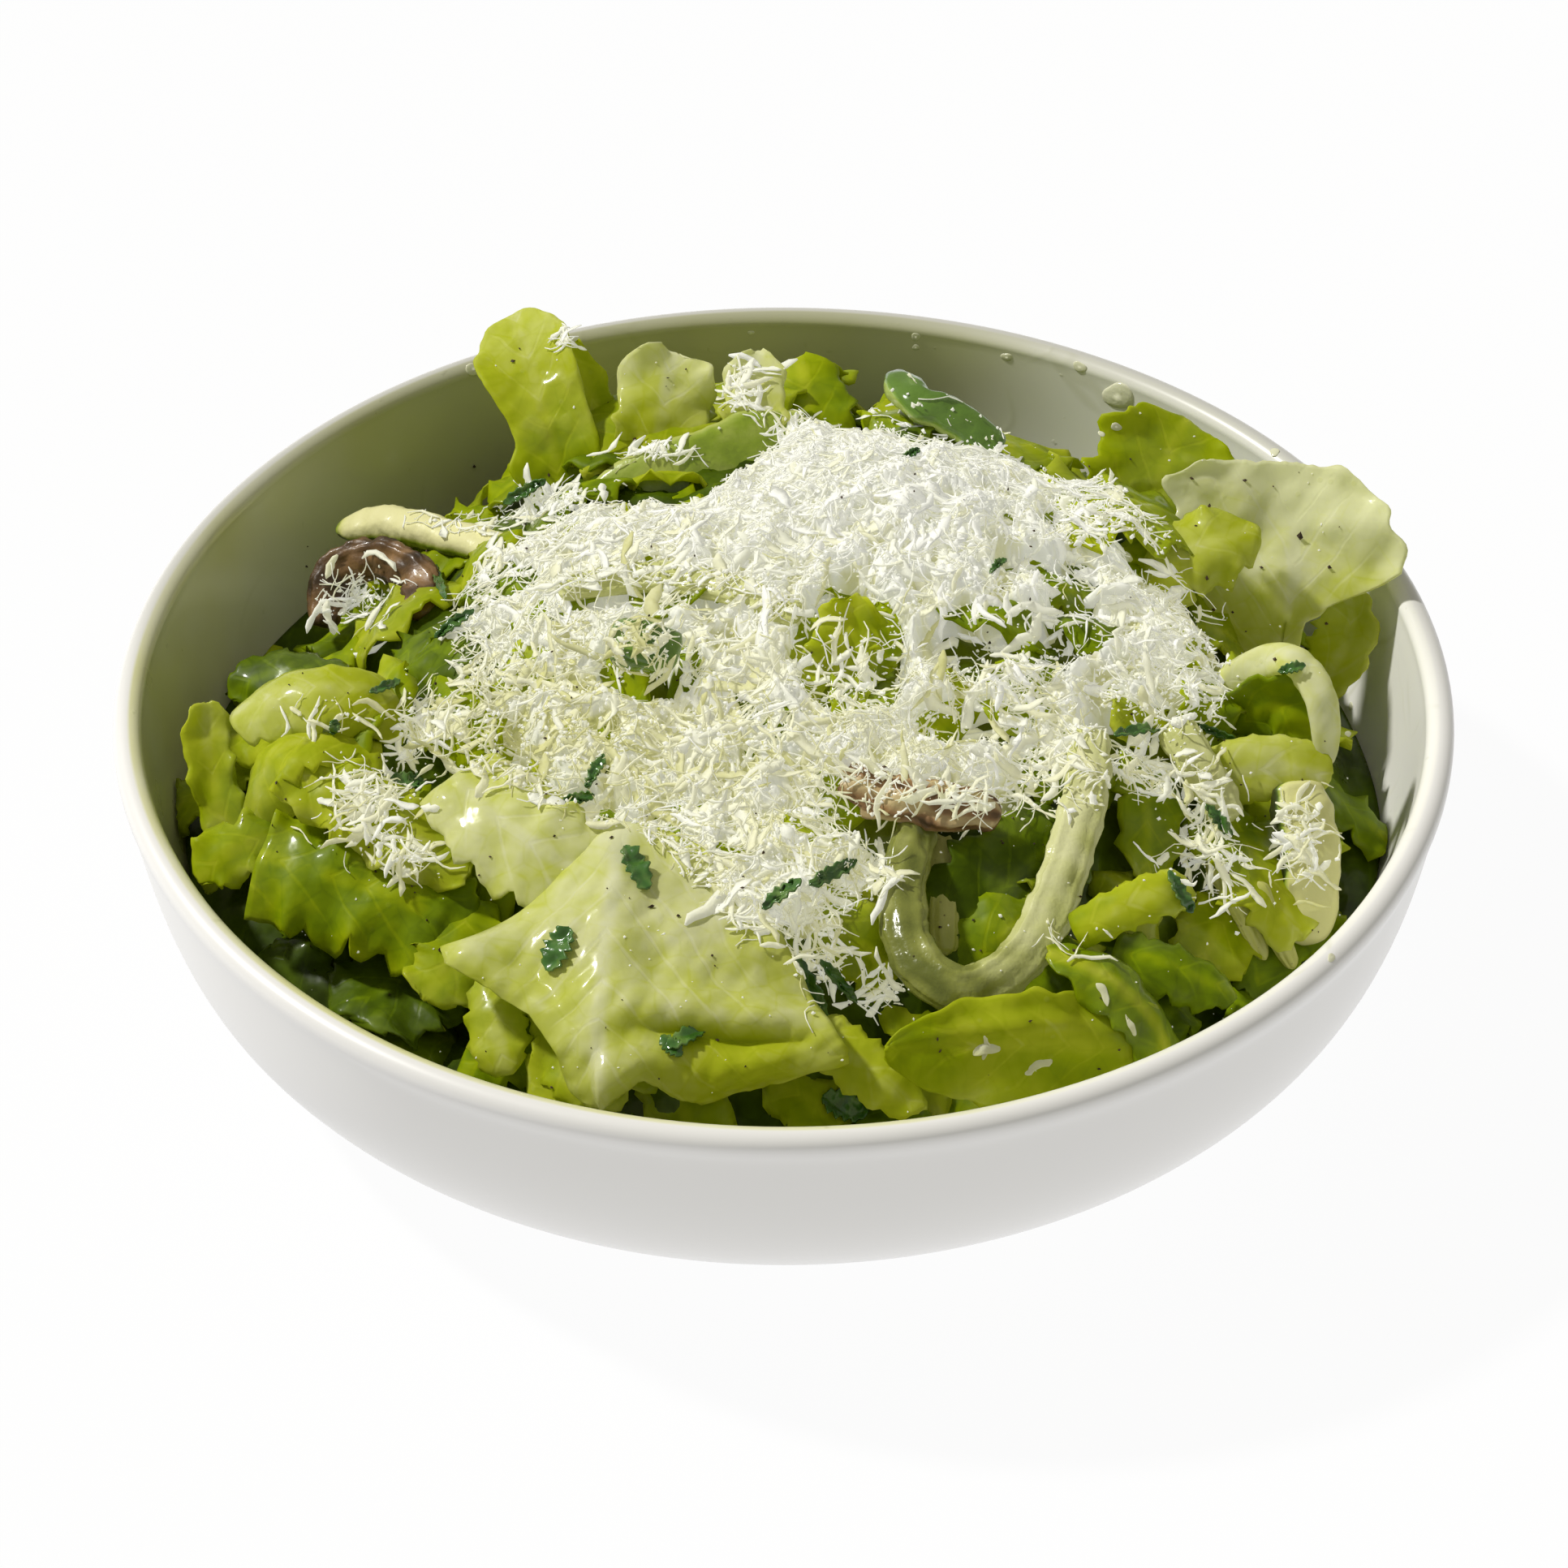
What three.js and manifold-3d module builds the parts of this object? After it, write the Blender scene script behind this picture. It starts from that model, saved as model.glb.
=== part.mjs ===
// A caesar salad heaped in a low white bowl.
// Millimetres, +Z up. The origin is the centre of the bowl's flat foot and the front is at -Y.

import * as THREE from 'three';
import { mergeVertices } from 'three/addons/utils/BufferGeometryUtils.js';
import Module from 'manifold-3d';

const wasm = await Module();
wasm.setup();

// Driving sizes of the bowl
const rimRadius = 120;
const bowlHeight = 56;
const wallThickness = 4.8;
const footRadius = 62;
const footStep = 2.3;
const wallPull = [114.7, 25.5];
const heelPull = [117, 3.8];
const lipBulge = 0.5;
const lipDrop = 4;
const bowlCuts = [6, 36];

// Driving sizes of the food
const gap = 0.35;
const leafThickness = 1.1;
const leafTipTrim = 0.02;
const heapCentre = [6, 12];
const heapRadius = 98;
const heapEdgeHeight = 30;
const heapRise = 46;
const heapCuts = [22, 10];
const heapShoulders = [
  { centre: [-78, -28], reach: [21, 22], height: 25 },
  { centre: [-20, -76], reach: [30, 16], height: 24 },
  { centre: [50, -72], reach: [22, 14], height: 13 },
  { centre: [90, -8], reach: [14, 16], height: 6 },
];
const cheeseCentre = [6, -4];
const cheeseRadius = 68;
const cheeseSink = 3;
const cheeseDepth = 4;
const cheeseCuts = [24, 10];
const cheesePiles = [
  { centre: [22, 24], reach: [24, 20], height: 7.5 },
  { centre: [-20, 12], reach: [16, 14], height: 2.5 },
];
const shredCount = 28;
const shredWidth = 2.3;
const shredThickness = 1.5;

const turn = 2 * Math.PI;

// A repeatable draw between 0 and 1 for each number
function draw(number) {
  const x = Math.sin(number * 12.9898 + 4.1) * 43758.5453;
  return x - Math.floor(x);
}

function clamp(x, low, high) {
  return Math.min(Math.max(x, low), high);
}

function vector(values) {
  return new THREE.Vector3(...values);
}

// Solids and meshes

// A closed geometry as a solid whose faces point out
function solidFrom(geometry) {
  geometry.deleteAttribute('normal');
  geometry.deleteAttribute('uv');
  const merged = mergeVertices(geometry, 1e-4);
  const points = merged.attributes.position;
  const corners = [];
  for (let i = 0; i < merged.index.count; i += 3) {
    const [a, b, c] = [0, 1, 2].map((k) => merged.index.getX(i + k));
    if (a !== b && b !== c && c !== a) {
      corners.push([a, b, c]);
    }
  }
  const at = (i) => new THREE.Vector3().fromBufferAttribute(points, i);
  const volume = corners.reduce((sum, [a, b, c]) => sum + at(a).dot(at(b).cross(at(c))), 0);
  const facing = volume > 0 ? corners : corners.map(([a, b, c]) => [a, c, b]);
  return new wasm.Manifold(new wasm.Mesh({
    numProp: 3,
    vertProperties: new Float32Array(points.array),
    triVerts: new Uint32Array(facing.flat()),
  }));
}

function join(solids) {
  return wasm.Manifold.union(solids);
}

// The largest connected body, without loose scraps or sealed hollows
function mainBody(solid) {
  const bodies = solid.decompose();
  return bodies.reduce((best, body) => (body.volume() > best.volume() ? body : best));
}

function meshFrom(solid, name, color, roughness, metalness = 0) {
  const result = mainBody(solid).getMesh();
  const geometry = new THREE.BufferGeometry();
  geometry.setAttribute('position', new THREE.BufferAttribute(result.vertProperties, 3));
  geometry.setIndex(new THREE.BufferAttribute(result.triVerts, 1));
  geometry.computeVertexNormals();
  const material = new THREE.MeshStandardMaterial({ color, roughness, metalness });
  const mesh = new THREE.Mesh(geometry, material);
  mesh.name = name;
  return mesh;
}

function geometryFrom(positions, triangles) {
  const geometry = new THREE.BufferGeometry();
  const flat = positions.flatMap((p) => [p.x, p.y, p.z]);
  geometry.setAttribute('position', new THREE.Float32BufferAttribute(flat, 3));
  geometry.setIndex(triangles.flat());
  return geometry;
}

// A thin closed sheet about the surface pointAt(u, v), u from 0 to 1 and v from -1 to 1. A grown
// sheet keeps its facets and reaches further by that much all round.
function sheet(pointAt, across, along, thickness, grow = 0) {
  const at = (i, j) => i * (across + 1) + j;
  const cells = [];
  for (let i = 0; i <= along; i += 1) {
    for (let j = 0; j <= across; j += 1) {
      cells.push([i, j]);
    }
  }
  const points = cells.map(([i, j]) => pointAt(i / along, -1 + (2 * j) / across));
  const normals = cells.map(([i, j]) => {
    const ahead = points[at(Math.min(i + 1, along), j)].clone();
    const aside = points[at(i, Math.min(j + 1, across))].clone();
    ahead.sub(points[at(Math.max(i - 1, 0), j)]);
    aside.sub(points[at(i, Math.max(j - 1, 0))]);
    return ahead.cross(aside).normalize();
  });
  const moved = points.map((point) => point.clone());
  const pushOut = (edgePoint, innerPoint) => {
    const away = points[edgePoint].clone().sub(points[innerPoint]).normalize();
    moved[edgePoint].addScaledVector(away, grow);
  };
  for (let j = 0; j <= across; j += 1) {
    pushOut(at(0, j), at(1, j));
    pushOut(at(along, j), at(along - 1, j));
  }
  for (let i = 0; i <= along; i += 1) {
    pushOut(at(i, 0), at(i, 1));
    pushOut(at(i, across), at(i, across - 1));
  }
  const half = thickness / 2 + grow;
  const top = moved.map((point, k) => point.clone().addScaledVector(normals[k], half));
  const bottom = moved.map((point, k) => point.clone().addScaledVector(normals[k], -half));
  const faces = [];
  const under = top.length;
  for (let i = 0; i < along; i += 1) {
    for (let j = 0; j < across; j += 1) {
      const [a, b, c, d] = [at(i, j), at(i + 1, j), at(i + 1, j + 1), at(i, j + 1)];
      faces.push([a, b, c], [a, c, d]);
      faces.push([a + under, c + under, b + under], [a + under, d + under, c + under]);
    }
  }
  const edge = [];
  for (let i = 0; i < along; i += 1) {
    edge.push(at(i, 0));
  }
  for (let j = 0; j < across; j += 1) {
    edge.push(at(along, j));
  }
  for (let i = along; i > 0; i -= 1) {
    edge.push(at(i, across));
  }
  for (let j = across; j > 0; j -= 1) {
    edge.push(at(0, j));
  }
  edge.forEach((p, k) => {
    const q = edge[(k + 1) % edge.length];
    faces.push([q, p, p + under], [q, p + under, q + under]);
  });
  return solidFrom(geometryFrom([...top, ...bottom], faces));
}

// A closed bar of rounded section along a smooth path, wide across and thick along its face
function bar(piece, stations, sides, grow = 0) {
  const path = new THREE.CatmullRomCurve3(piece.path.map(vector), false, 'catmullrom', 0.5);
  const face = vector(piece.face);
  const [startSize, endSize] = piece.ends;
  const positions = [];
  const faces = [];
  for (let i = 0; i <= stations; i += 1) {
    const u = i / stations;
    const centre = path.getPoint(u);
    const tangent = path.getTangent(u);
    const side = tangent.clone().cross(face).normalize();
    const normal = side.clone().cross(tangent);
    const reach = 0.18;
    const fromStart = startSize + (1 - startSize) * Math.sqrt(clamp(u / reach, 0, 1));
    const fromEnd = endSize + (1 - endSize) * Math.sqrt(clamp((1 - u) / reach, 0, 1));
    const taper = Math.min(fromStart, fromEnd);
    const stretch = (u * 2 - 1) * grow;
    for (let k = 0; k < sides; k += 1) {
      const angle = (turn * k) / sides;
      const round = (x) => Math.sign(x) * Math.abs(x) ** 0.75;
      const x = round(Math.cos(angle)) * ((piece.width / 2) * taper + grow);
      const y = round(Math.sin(angle)) * ((piece.thick / 2) * taper + grow);
      const point = centre.clone().addScaledVector(side, x).addScaledVector(normal, y);
      positions.push(point.addScaledVector(tangent, stretch));
    }
  }
  const last = stations * sides;
  for (let k = 0; k < sides; k += 1) {
    const next = (k + 1) % sides;
    for (let i = 0; i < last; i += sides) {
      faces.push([i + k, i + next, i + sides + next], [i + k, i + sides + next, i + sides + k]);
    }
    if (k > 0 && k < sides - 1) {
      faces.push([0, k + 1, k], [last, last + k, last + k + 1]);
    }
  }
  return solidFrom(geometryFrom(positions, faces));
}

// The bowl

const wallCurve = new THREE.CubicBezierCurve(
  new THREE.Vector2(rimRadius, bowlHeight),
  new THREE.Vector2(...wallPull),
  new THREE.Vector2(...heelPull),
  new THREE.Vector2(footRadius, footStep),
);

// A point on the wall's outer curve, moved inwards by depth
function wallPoint(t, depth) {
  const tangent = wallCurve.getTangent(t);
  return wallCurve.getPoint(t).add(new THREE.Vector2(tangent.y, -tangent.x).multiplyScalar(depth));
}

const innerWall = Array.from({ length: 41 }, (_, i) => wallPoint(i / 40, wallThickness));
const floorHeight = innerWall.at(-1).y;

function innerRadiusAt(z) {
  const i = innerWall.findIndex((p) => p.y <= z);
  if (i < 1) {
    return i === 0 ? innerWall[0].x : innerWall.at(-1).x;
  }
  const [above, below] = [innerWall[i - 1], innerWall[i]];
  return below.x + ((above.x - below.x) * (z - below.y)) / (above.y - below.y);
}

function floorAt(r) {
  const i = innerWall.findIndex((p) => p.x <= r);
  if (i < 1) {
    return i === 0 ? bowlHeight : floorHeight;
  }
  const [above, below] = [innerWall[i - 1], innerWall[i]];
  return below.y + ((above.y - below.y) * (r - below.x)) / (above.x - below.x);
}

// The closed section of the bowl, from the foot's centre round the rim to the floor's centre
function bowlProfile(steps, grow = 0) {
  const profile = [new THREE.Vector2(0, -grow), new THREE.Vector2(footRadius - 1 + grow, -grow)];
  for (let i = steps; i >= 0; i -= 1) {
    const t = i / steps;
    const point = wallPoint(t, -grow);
    const drop = (bowlHeight - point.y) / lipDrop;
    point.x += lipBulge * Math.exp(-((drop - 0.4) ** 2) * 3);
    profile.push(point);
  }
  const rimSteps = 4;
  const rimCentre = wallPoint(0, wallThickness / 2);
  for (let i = 1; i < rimSteps; i += 1) {
    const angle = (Math.PI * i) / rimSteps;
    const reach = wallThickness / 2 + grow;
    const x = rimCentre.x + Math.cos(angle) * reach;
    profile.push(new THREE.Vector2(x, bowlHeight - 2.2 + Math.sin(angle) * (2.2 + grow)));
  }
  for (let i = 0; i <= steps; i += 1) {
    const point = wallPoint(i / steps, wallThickness + grow);
    profile.push(i === 0 ? point.setY(bowlHeight - 2.2) : point);
  }
  profile.push(new THREE.Vector2(0, floorHeight + grow));
  return profile;
}

function bowl(steps, turns, grow = 0) {
  return solidFrom(new THREE.LatheGeometry(bowlProfile(steps, grow), turns).rotateX(Math.PI / 2));
}

// Keeps a point of the salad inside the wall, or lifts it over the rim where that is nearer
function keepInBowl(point, clear) {
  const reach = Math.hypot(point.x, point.y);
  const lift = bowlHeight + clear - point.z;
  const over = reach - (innerRadiusAt(Math.min(point.z, bowlHeight)) - clear);
  if (over > 0 && lift > 0) {
    if (lift < over) {
      point.z += lift;
    } else {
      const inside = (reach - over) / reach;
      point.x *= inside;
      point.y *= inside;
    }
  }
  point.z = Math.max(point.z, floorAt(Math.hypot(point.x, point.y)) + clear);
  return point;
}

// The heap under the leaves

function hump({ centre, reach, height }, x, y) {
  return height * Math.exp(-(((x - centre[0]) / reach[0]) ** 2) - ((y - centre[1]) / reach[1]) ** 2);
}

function heapTop(x, y) {
  const r = Math.hypot(x - heapCentre[0], y - heapCentre[1]) / heapRadius;
  const mound = heapEdgeHeight + heapRise * Math.max(1 - r ** 2.6, 0) ** 0.9;
  return heapShoulders.reduce((top, shoulder) => top + hump(shoulder, x, y), mound);
}

// A closed mound: its plan is edgeAt(angle) round a centre, between two height functions. A grown
// mound keeps its facets and reaches further by that much all round.
function moundSolid(centre, edgeAt, heights, cuts, grow = 0) {
  const [topAt, edgeHeightAt, bottomAt] = heights;
  const geometry = new THREE.SphereGeometry(1, ...cuts);
  const points = geometry.attributes.position;
  for (let i = 0; i < points.count; i += 1) {
    const polar = Math.acos(clamp(points.getY(i), -1, 1)) / (Math.PI / 2);
    const angle = Math.atan2(points.getZ(i), points.getX(i));
    const share = clamp(polar < 1 ? polar : 2 - polar, 0, 1);
    const at = (reach) => [
      centre[0] + Math.cos(angle) * reach,
      centre[1] + Math.sin(angle) * reach,
    ];
    const [x, y] = at(edgeAt(angle) * share);
    if (share > 0.999) {
      const [innerX, innerY] = at(edgeAt(angle) * (1 - 2 / cuts[1]));
      const edge = new THREE.Vector3(x, y, edgeHeightAt(x, y));
      const inner = new THREE.Vector3(innerX, innerY, topAt(innerX, innerY));
      edge.addScaledVector(edge.clone().sub(inner).normalize(), 2 * grow);
      points.setXYZ(i, edge.x, edge.y, edge.z);
    } else {
      points.setXYZ(i, x, y, polar < 1 ? topAt(x, y) + grow : bottomAt(x, y) - grow);
    }
  }
  return solidFrom(geometry);
}

function heapCore() {
  const edge = innerRadiusAt(heapEdgeHeight) - 2 * gap;
  const bottom = (x, y) => Math.min(floorAt(Math.hypot(x, y)) + 2 * gap, heapEdgeHeight - 2);
  return moundSolid([0, 0], () => edge, [heapTop, heapTop, bottom], heapCuts);
}

// The leaves

const leafBasics = {
  left: 10,
  right: 10,
  face: [0, -0.5, 0.8],
  root: 0.45,
  belly: 0.55,
  blunt: 2.2,
  cup: 40,
  twist: 0,
  ruffle: 1.5,
  waves: 3,
  buckle: 1.2,
  lobe: 0.1,
  thick: leafThickness,
  cells: [4, 6],
};

// A leaf runs from base over mid to tip. left and right are its half widths, face is the way that
// its upper side looks, cup is how far it curls across in degrees, and ruffle and buckle are the
// heights of its edge's waves and of its blisters.
const leafPieces = {
  tongue: { base: [-40, 46, 54], mid: [-45, 61, 71], tip: [-51, 83, 78], left: 9.5, right: 8.5,
    face: [0.1, -1, 0.3], root: 0.85, belly: 0.8, blunt: 2.6, cup: 60, ruffle: 1, waves: 2.5,
    buckle: 1, lobe: 0.14, cells: [3, 6] },
  tongueFlap: { base: [-41, 75, 76], mid: [-35, 65, 66], tip: [-35, 53, 56], left: 5, right: 6,
    face: [0.3, -1, 0.3], root: 0.5, cup: 60, twist: 20, ruffle: 0.8, waves: 2, cells: [3, 4] },
  curtain: { base: [-25, 48, 58], mid: [-23, 57, 70], tip: [-21, 70, 79], left: 9, right: 9,
    face: [0, -1, 0.25], root: 0.9, belly: 0.6, blunt: 5, cup: 20, ruffle: 1.8, waves: 2,
    lobe: 0.08, cells: [4, 5] },
  veil: { base: [-8, 50, 62], mid: [-6, 57, 72], tip: [-5, 69, 79], left: 6, right: 6,
    face: [0, -1, 0.4], root: 0.9, belly: 0.5, blunt: 4, cup: 25, ruffle: 1, waves: 2,
    cells: [3, 4] },
  backGreen: { base: [7, 58, 56], mid: [5, 65, 66], tip: [3, 78, 72], left: 8, right: 9,
    face: [0, -1, 0.3], root: 0.9, belly: 0.5, blunt: 2.5, cup: -50, ruffle: 0.8, waves: 2,
    cells: [3, 4] },
  rightBackGreen: { base: [66, 44, 50], mid: [70, 54, 60], tip: [76, 67, 66], left: 14, right: 14,
    face: [0, -0.8, 0.7], root: 0.8, belly: 0.5, waves: 2.5, cells: [4, 4] },
  bigRight: { base: [80, 11, 48], mid: [95, 31, 55], tip: [115, 28, 74], left: 17, right: 18,
    face: [-0.1, -0.75, 0.65], root: 0.75, blunt: 4.5, cup: 95, ruffle: 1.2, lobe: 0.05,
    cells: [5, 6] },
  rightPetal: { base: [92, 5, 50], mid: [100, 8, 55], tip: [109, 14, 64], left: 6, right: 7,
    face: [-0.2, -0.8, 0.6], root: 0.7, belly: 0.5, blunt: 3, cup: 70, ruffle: 0.8, waves: 2,
    cells: [3, 4] },
  yellowFlap: { base: [63, 21, 60], mid: [72, 17, 72], tip: [87, 24, 73], left: 9, right: 8,
    face: [0, -0.4, 0.9], root: 0.8, belly: 0.5, blunt: 3, cup: -70, cells: [3, 5] },
  ribLoop: { base: [79, -2, 56], mid: [92, -11, 68], tip: [98, -23, 56], left: 3.2, right: 3.2,
    face: [0.1, -0.45, 0.9], root: 0.9, belly: 0.5, blunt: 9, cup: -40, twist: -55, ruffle: 0.2,
    buckle: 0.2, lobe: 0.02, thick: 2.2, cells: [2, 6] },
  ribInner: { base: [80, -11, 52], mid: [87, -10, 58], tip: [95, -13, 54], left: 7, right: 6,
    face: [0, -1, 0.4], root: 0.9, belly: 0.5, blunt: 4, cup: 60, ruffle: 0.4, cells: [3, 4] },
  paleRib: { base: [76, -24, 52], mid: [85, -25, 56], tip: [96, -26, 54], left: 6, right: 6,
    face: [0.1, -0.8, 0.7], root: 1, belly: 0.6, blunt: 4, cup: -60, ruffle: 0.3, buckle: 0.5,
    lobe: 0.04, thick: 1.8, cells: [3, 4] },
  frontGreen: { base: [62, -86, 44], mid: [42, -91, 50], tip: [19, -95, 52], left: 9, right: 9,
    face: [0, -0.8, 0.6], root: 0.9, belly: 0.5, blunt: 1.6, cup: -50, ruffle: 1.2, waves: 2.5,
    lobe: 0.05, cells: [3, 7] },
  frontArch: { base: [65, -86, 40], mid: [58, -82, 54], tip: [44, -76, 58], left: 6, right: 7,
    face: [0.6, -0.3, 0.7], root: 0.9, belly: 0.5, blunt: 2.5, cup: -70, ruffle: 0.9, waves: 2,
    cells: [3, 6] },
  frontOuter: { base: [56, -66, 50], mid: [67, -68, 47], tip: [77, -67, 40], left: 6, right: 6,
    face: [0.2, -0.3, 0.9], root: 0.9, belly: 0.5, blunt: 1.8, cup: -60, ruffle: 0.6,
    cells: [3, 4] },
  brightTip: { base: [49, -71, 58], mid: [59, -70, 64], tip: [69, -66, 64], left: 4.5, right: 4.5,
    face: [0, -0.6, 0.8], root: 0.8, belly: 0.6, blunt: 5, cup: -90, ruffle: 0.4, cells: [3, 4] },
  underArch: { base: [39, -76, 42], mid: [44, -73, 50], tip: [51, -69, 52], left: 6, right: 6,
    face: [0, -0.5, 0.8], root: 0.9, cup: -60, ruffle: 0.4, cells: [2, 3] },
  heroLeft: { base: [-27, -56, 65], mid: [-31, -85, 61], tip: [-30, -100, 46], left: 7, right: 27,
    face: [-0.2, -0.75, 0.65], root: 0.12, belly: 0.42, blunt: 1.5, cup: -15, ruffle: 0.6,
    waves: 2, buckle: 0.9, lobe: 0.03, cells: [4, 7] },
  heroRight: { base: [-26, -55, 65], mid: [-13, -83, 62], tip: [10, -95, 48], left: 9, right: 21,
    face: [0.15, -0.8, 0.6], root: 0.25, belly: 0.6, blunt: 2.4, cup: 25, ruffle: 1.2,
    waves: 2.5, buckle: 1.4, lobe: 0.04, cells: [4, 6] },
  underHero: { base: [-45, -70, 50], mid: [-48, -81, 48], tip: [-46, -89, 42], left: 5, right: 6,
    face: [-0.2, -0.8, 0.6], root: 0.9, belly: 0.5, blunt: 3, cup: -50, ruffle: 0.5,
    cells: [3, 4] },
  underHeroTip: { base: [-39, -79, 50], mid: [-37, -88, 46], tip: [-33, -96, 42], left: 5,
    right: 5, face: [-0.2, -0.9, 0.4], root: 0.9, belly: 0.5, blunt: 2.5, cup: 20, ruffle: 0.6,
    cells: [3, 3] },
  leftDome: { base: [-66, -20, 66], mid: [-81, -23, 72], tip: [-97, -18, 62], left: 9, right: 8,
    face: [0, -0.3, 1], root: 0.9, belly: 0.5, blunt: 3, cup: -110, ruffle: 0.5, buckle: 0.8,
    cells: [4, 5] },
  leftLoop: { base: [-70, -30, 64], mid: [-87, -33, 66], tip: [-90, -39, 52], left: 8, right: 8,
    face: [-0.3, 0.1, 1], root: 0.9, belly: 0.6, blunt: 4, cup: -60, ruffle: 0.5, buckle: 0.6,
    cells: [3, 5] },
  leftUpright: { base: [-97, -32, 46], mid: [-101, -22, 54], tip: [-102, -13, 62], left: 4.5,
    right: 4.5, face: [0.2, -1, 0.2], root: 0.9, belly: 0.5, blunt: 3, cup: 60, ruffle: 0.8,
    waves: 2, cells: [2, 4] },
  leftDiagonal: { base: [-86, -37, 66], mid: [-70, -46, 62], tip: [-54, -55, 56], left: 8,
    right: 7, face: [0.1, -0.5, 0.9], root: 0.8, belly: 0.5, blunt: 2.5, cup: -30, ruffle: 1.4,
    cells: [3, 6] },
  leftRuffle: { base: [-90, -47, 54], mid: [-69, -56, 54], tip: [-51, -61, 48], left: 9,
    right: 12, root: 0.9, belly: 0.5, blunt: 3, cup: -50, ruffle: 2, waves: 3.5, cells: [4, 5] },
  leftFrill: { base: [-88, -42, 54], mid: [-95, -45, 54], tip: [-101, -49, 50], left: 6, right: 6,
    root: 0.9, belly: 0.5, blunt: 2.5, ruffle: 1.4, waves: 2, cup: -40, cells: [3, 4] },
  smallLobe: { base: [-54, -56, 52], mid: [-56, -65, 48], tip: [-61, -72, 43], left: 8, right: 8,
    root: 0.6, belly: 0.5, blunt: 2.5, cup: -40, ruffle: 1.3, cells: [3, 4] },
  darkBottom: { base: [-89, -36, 34], mid: [-74, -51, 34], tip: [-57, -62, 34], left: 9, right: 9,
    root: 0.8, belly: 0.5, blunt: 2.5, cup: -60, ruffle: 0.8, waves: 2, cells: [3, 4] },
  paleBlade: { base: [6, -87, 52], mid: [16, -95, 50], tip: [27, -100, 44], left: 5, right: 5,
    root: 0.9, belly: 0.5, blunt: 2.5, cup: -30, ruffle: 0.4, cells: [3, 4] },
  shadeLeaf: { base: [-2, -56, 54], mid: [7, -67, 54], tip: [18, -68, 46], left: 9, right: 10,
    face: [0.1, -0.6, 0.8], root: 0.8, belly: 0.5, cup: -40, ruffle: 0.6, cells: [2, 3] },
  creamLeaf: { base: [-56, -42, 68], mid: [-43, -57, 66], tip: [-27, -63, 62], left: 10,
    right: 10, face: [-0.1, -0.5, 0.9], root: 0.8, belly: 0.5, blunt: 2.5, cup: -30,
    ruffle: 0.7, buckle: 0.8, cells: [3, 4] },
  tipInCheese: { base: [10, -29, 68], mid: [10, -20, 77], tip: [13, -14, 85], left: 5.5,
    right: 6.5, face: [0, -0.8, 0.6], root: 0.6, belly: 0.6, blunt: 3, cup: 30, ruffle: 1.6,
    waves: 2.5, buckle: 0.8, cells: [3, 4] },
  darkBehind: { base: [24, -66, 46], mid: [37, -58, 56], tip: [51, -44, 60], left: 11, right: 11,
    face: [0.1, -0.7, 0.7], root: 0.9, belly: 0.5, cup: -20, ruffle: 0.8, cells: [3, 4] },
  leftFlat: { base: [-79, 5, 50], mid: [-92, 12, 47], tip: [-101, 12, 42], left: 6, right: 6,
    face: [0.3, -0.3, 0.9], root: 0.9, belly: 0.5, cup: -30, ruffle: 0.5, cells: [3, 4] },
};

// Leaves that stand up through the cheese
const proudLeaves = ['tipInCheese', 'yellowFlap'];

// Leaves that hang clear of the heap and of each other
const carriedLeaves = ['frontGreen', 'frontOuter', 'rightPetal', 'leftFlat', 'leftUpright', 'heroLeft',
  'leftRuffle'];

// Half width of a leaf along its length, as a share of the widest place
function leafWidth(u, root, belly, blunt) {
  if (u < belly) {
    return root + (1 - root) * Math.sin(((u / belly) * Math.PI) / 2);
  }
  const fall = clamp((u - belly) / (1 - belly), 0, 1);
  return Math.sqrt(Math.max(1 - fall ** blunt, 0));
}

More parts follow.
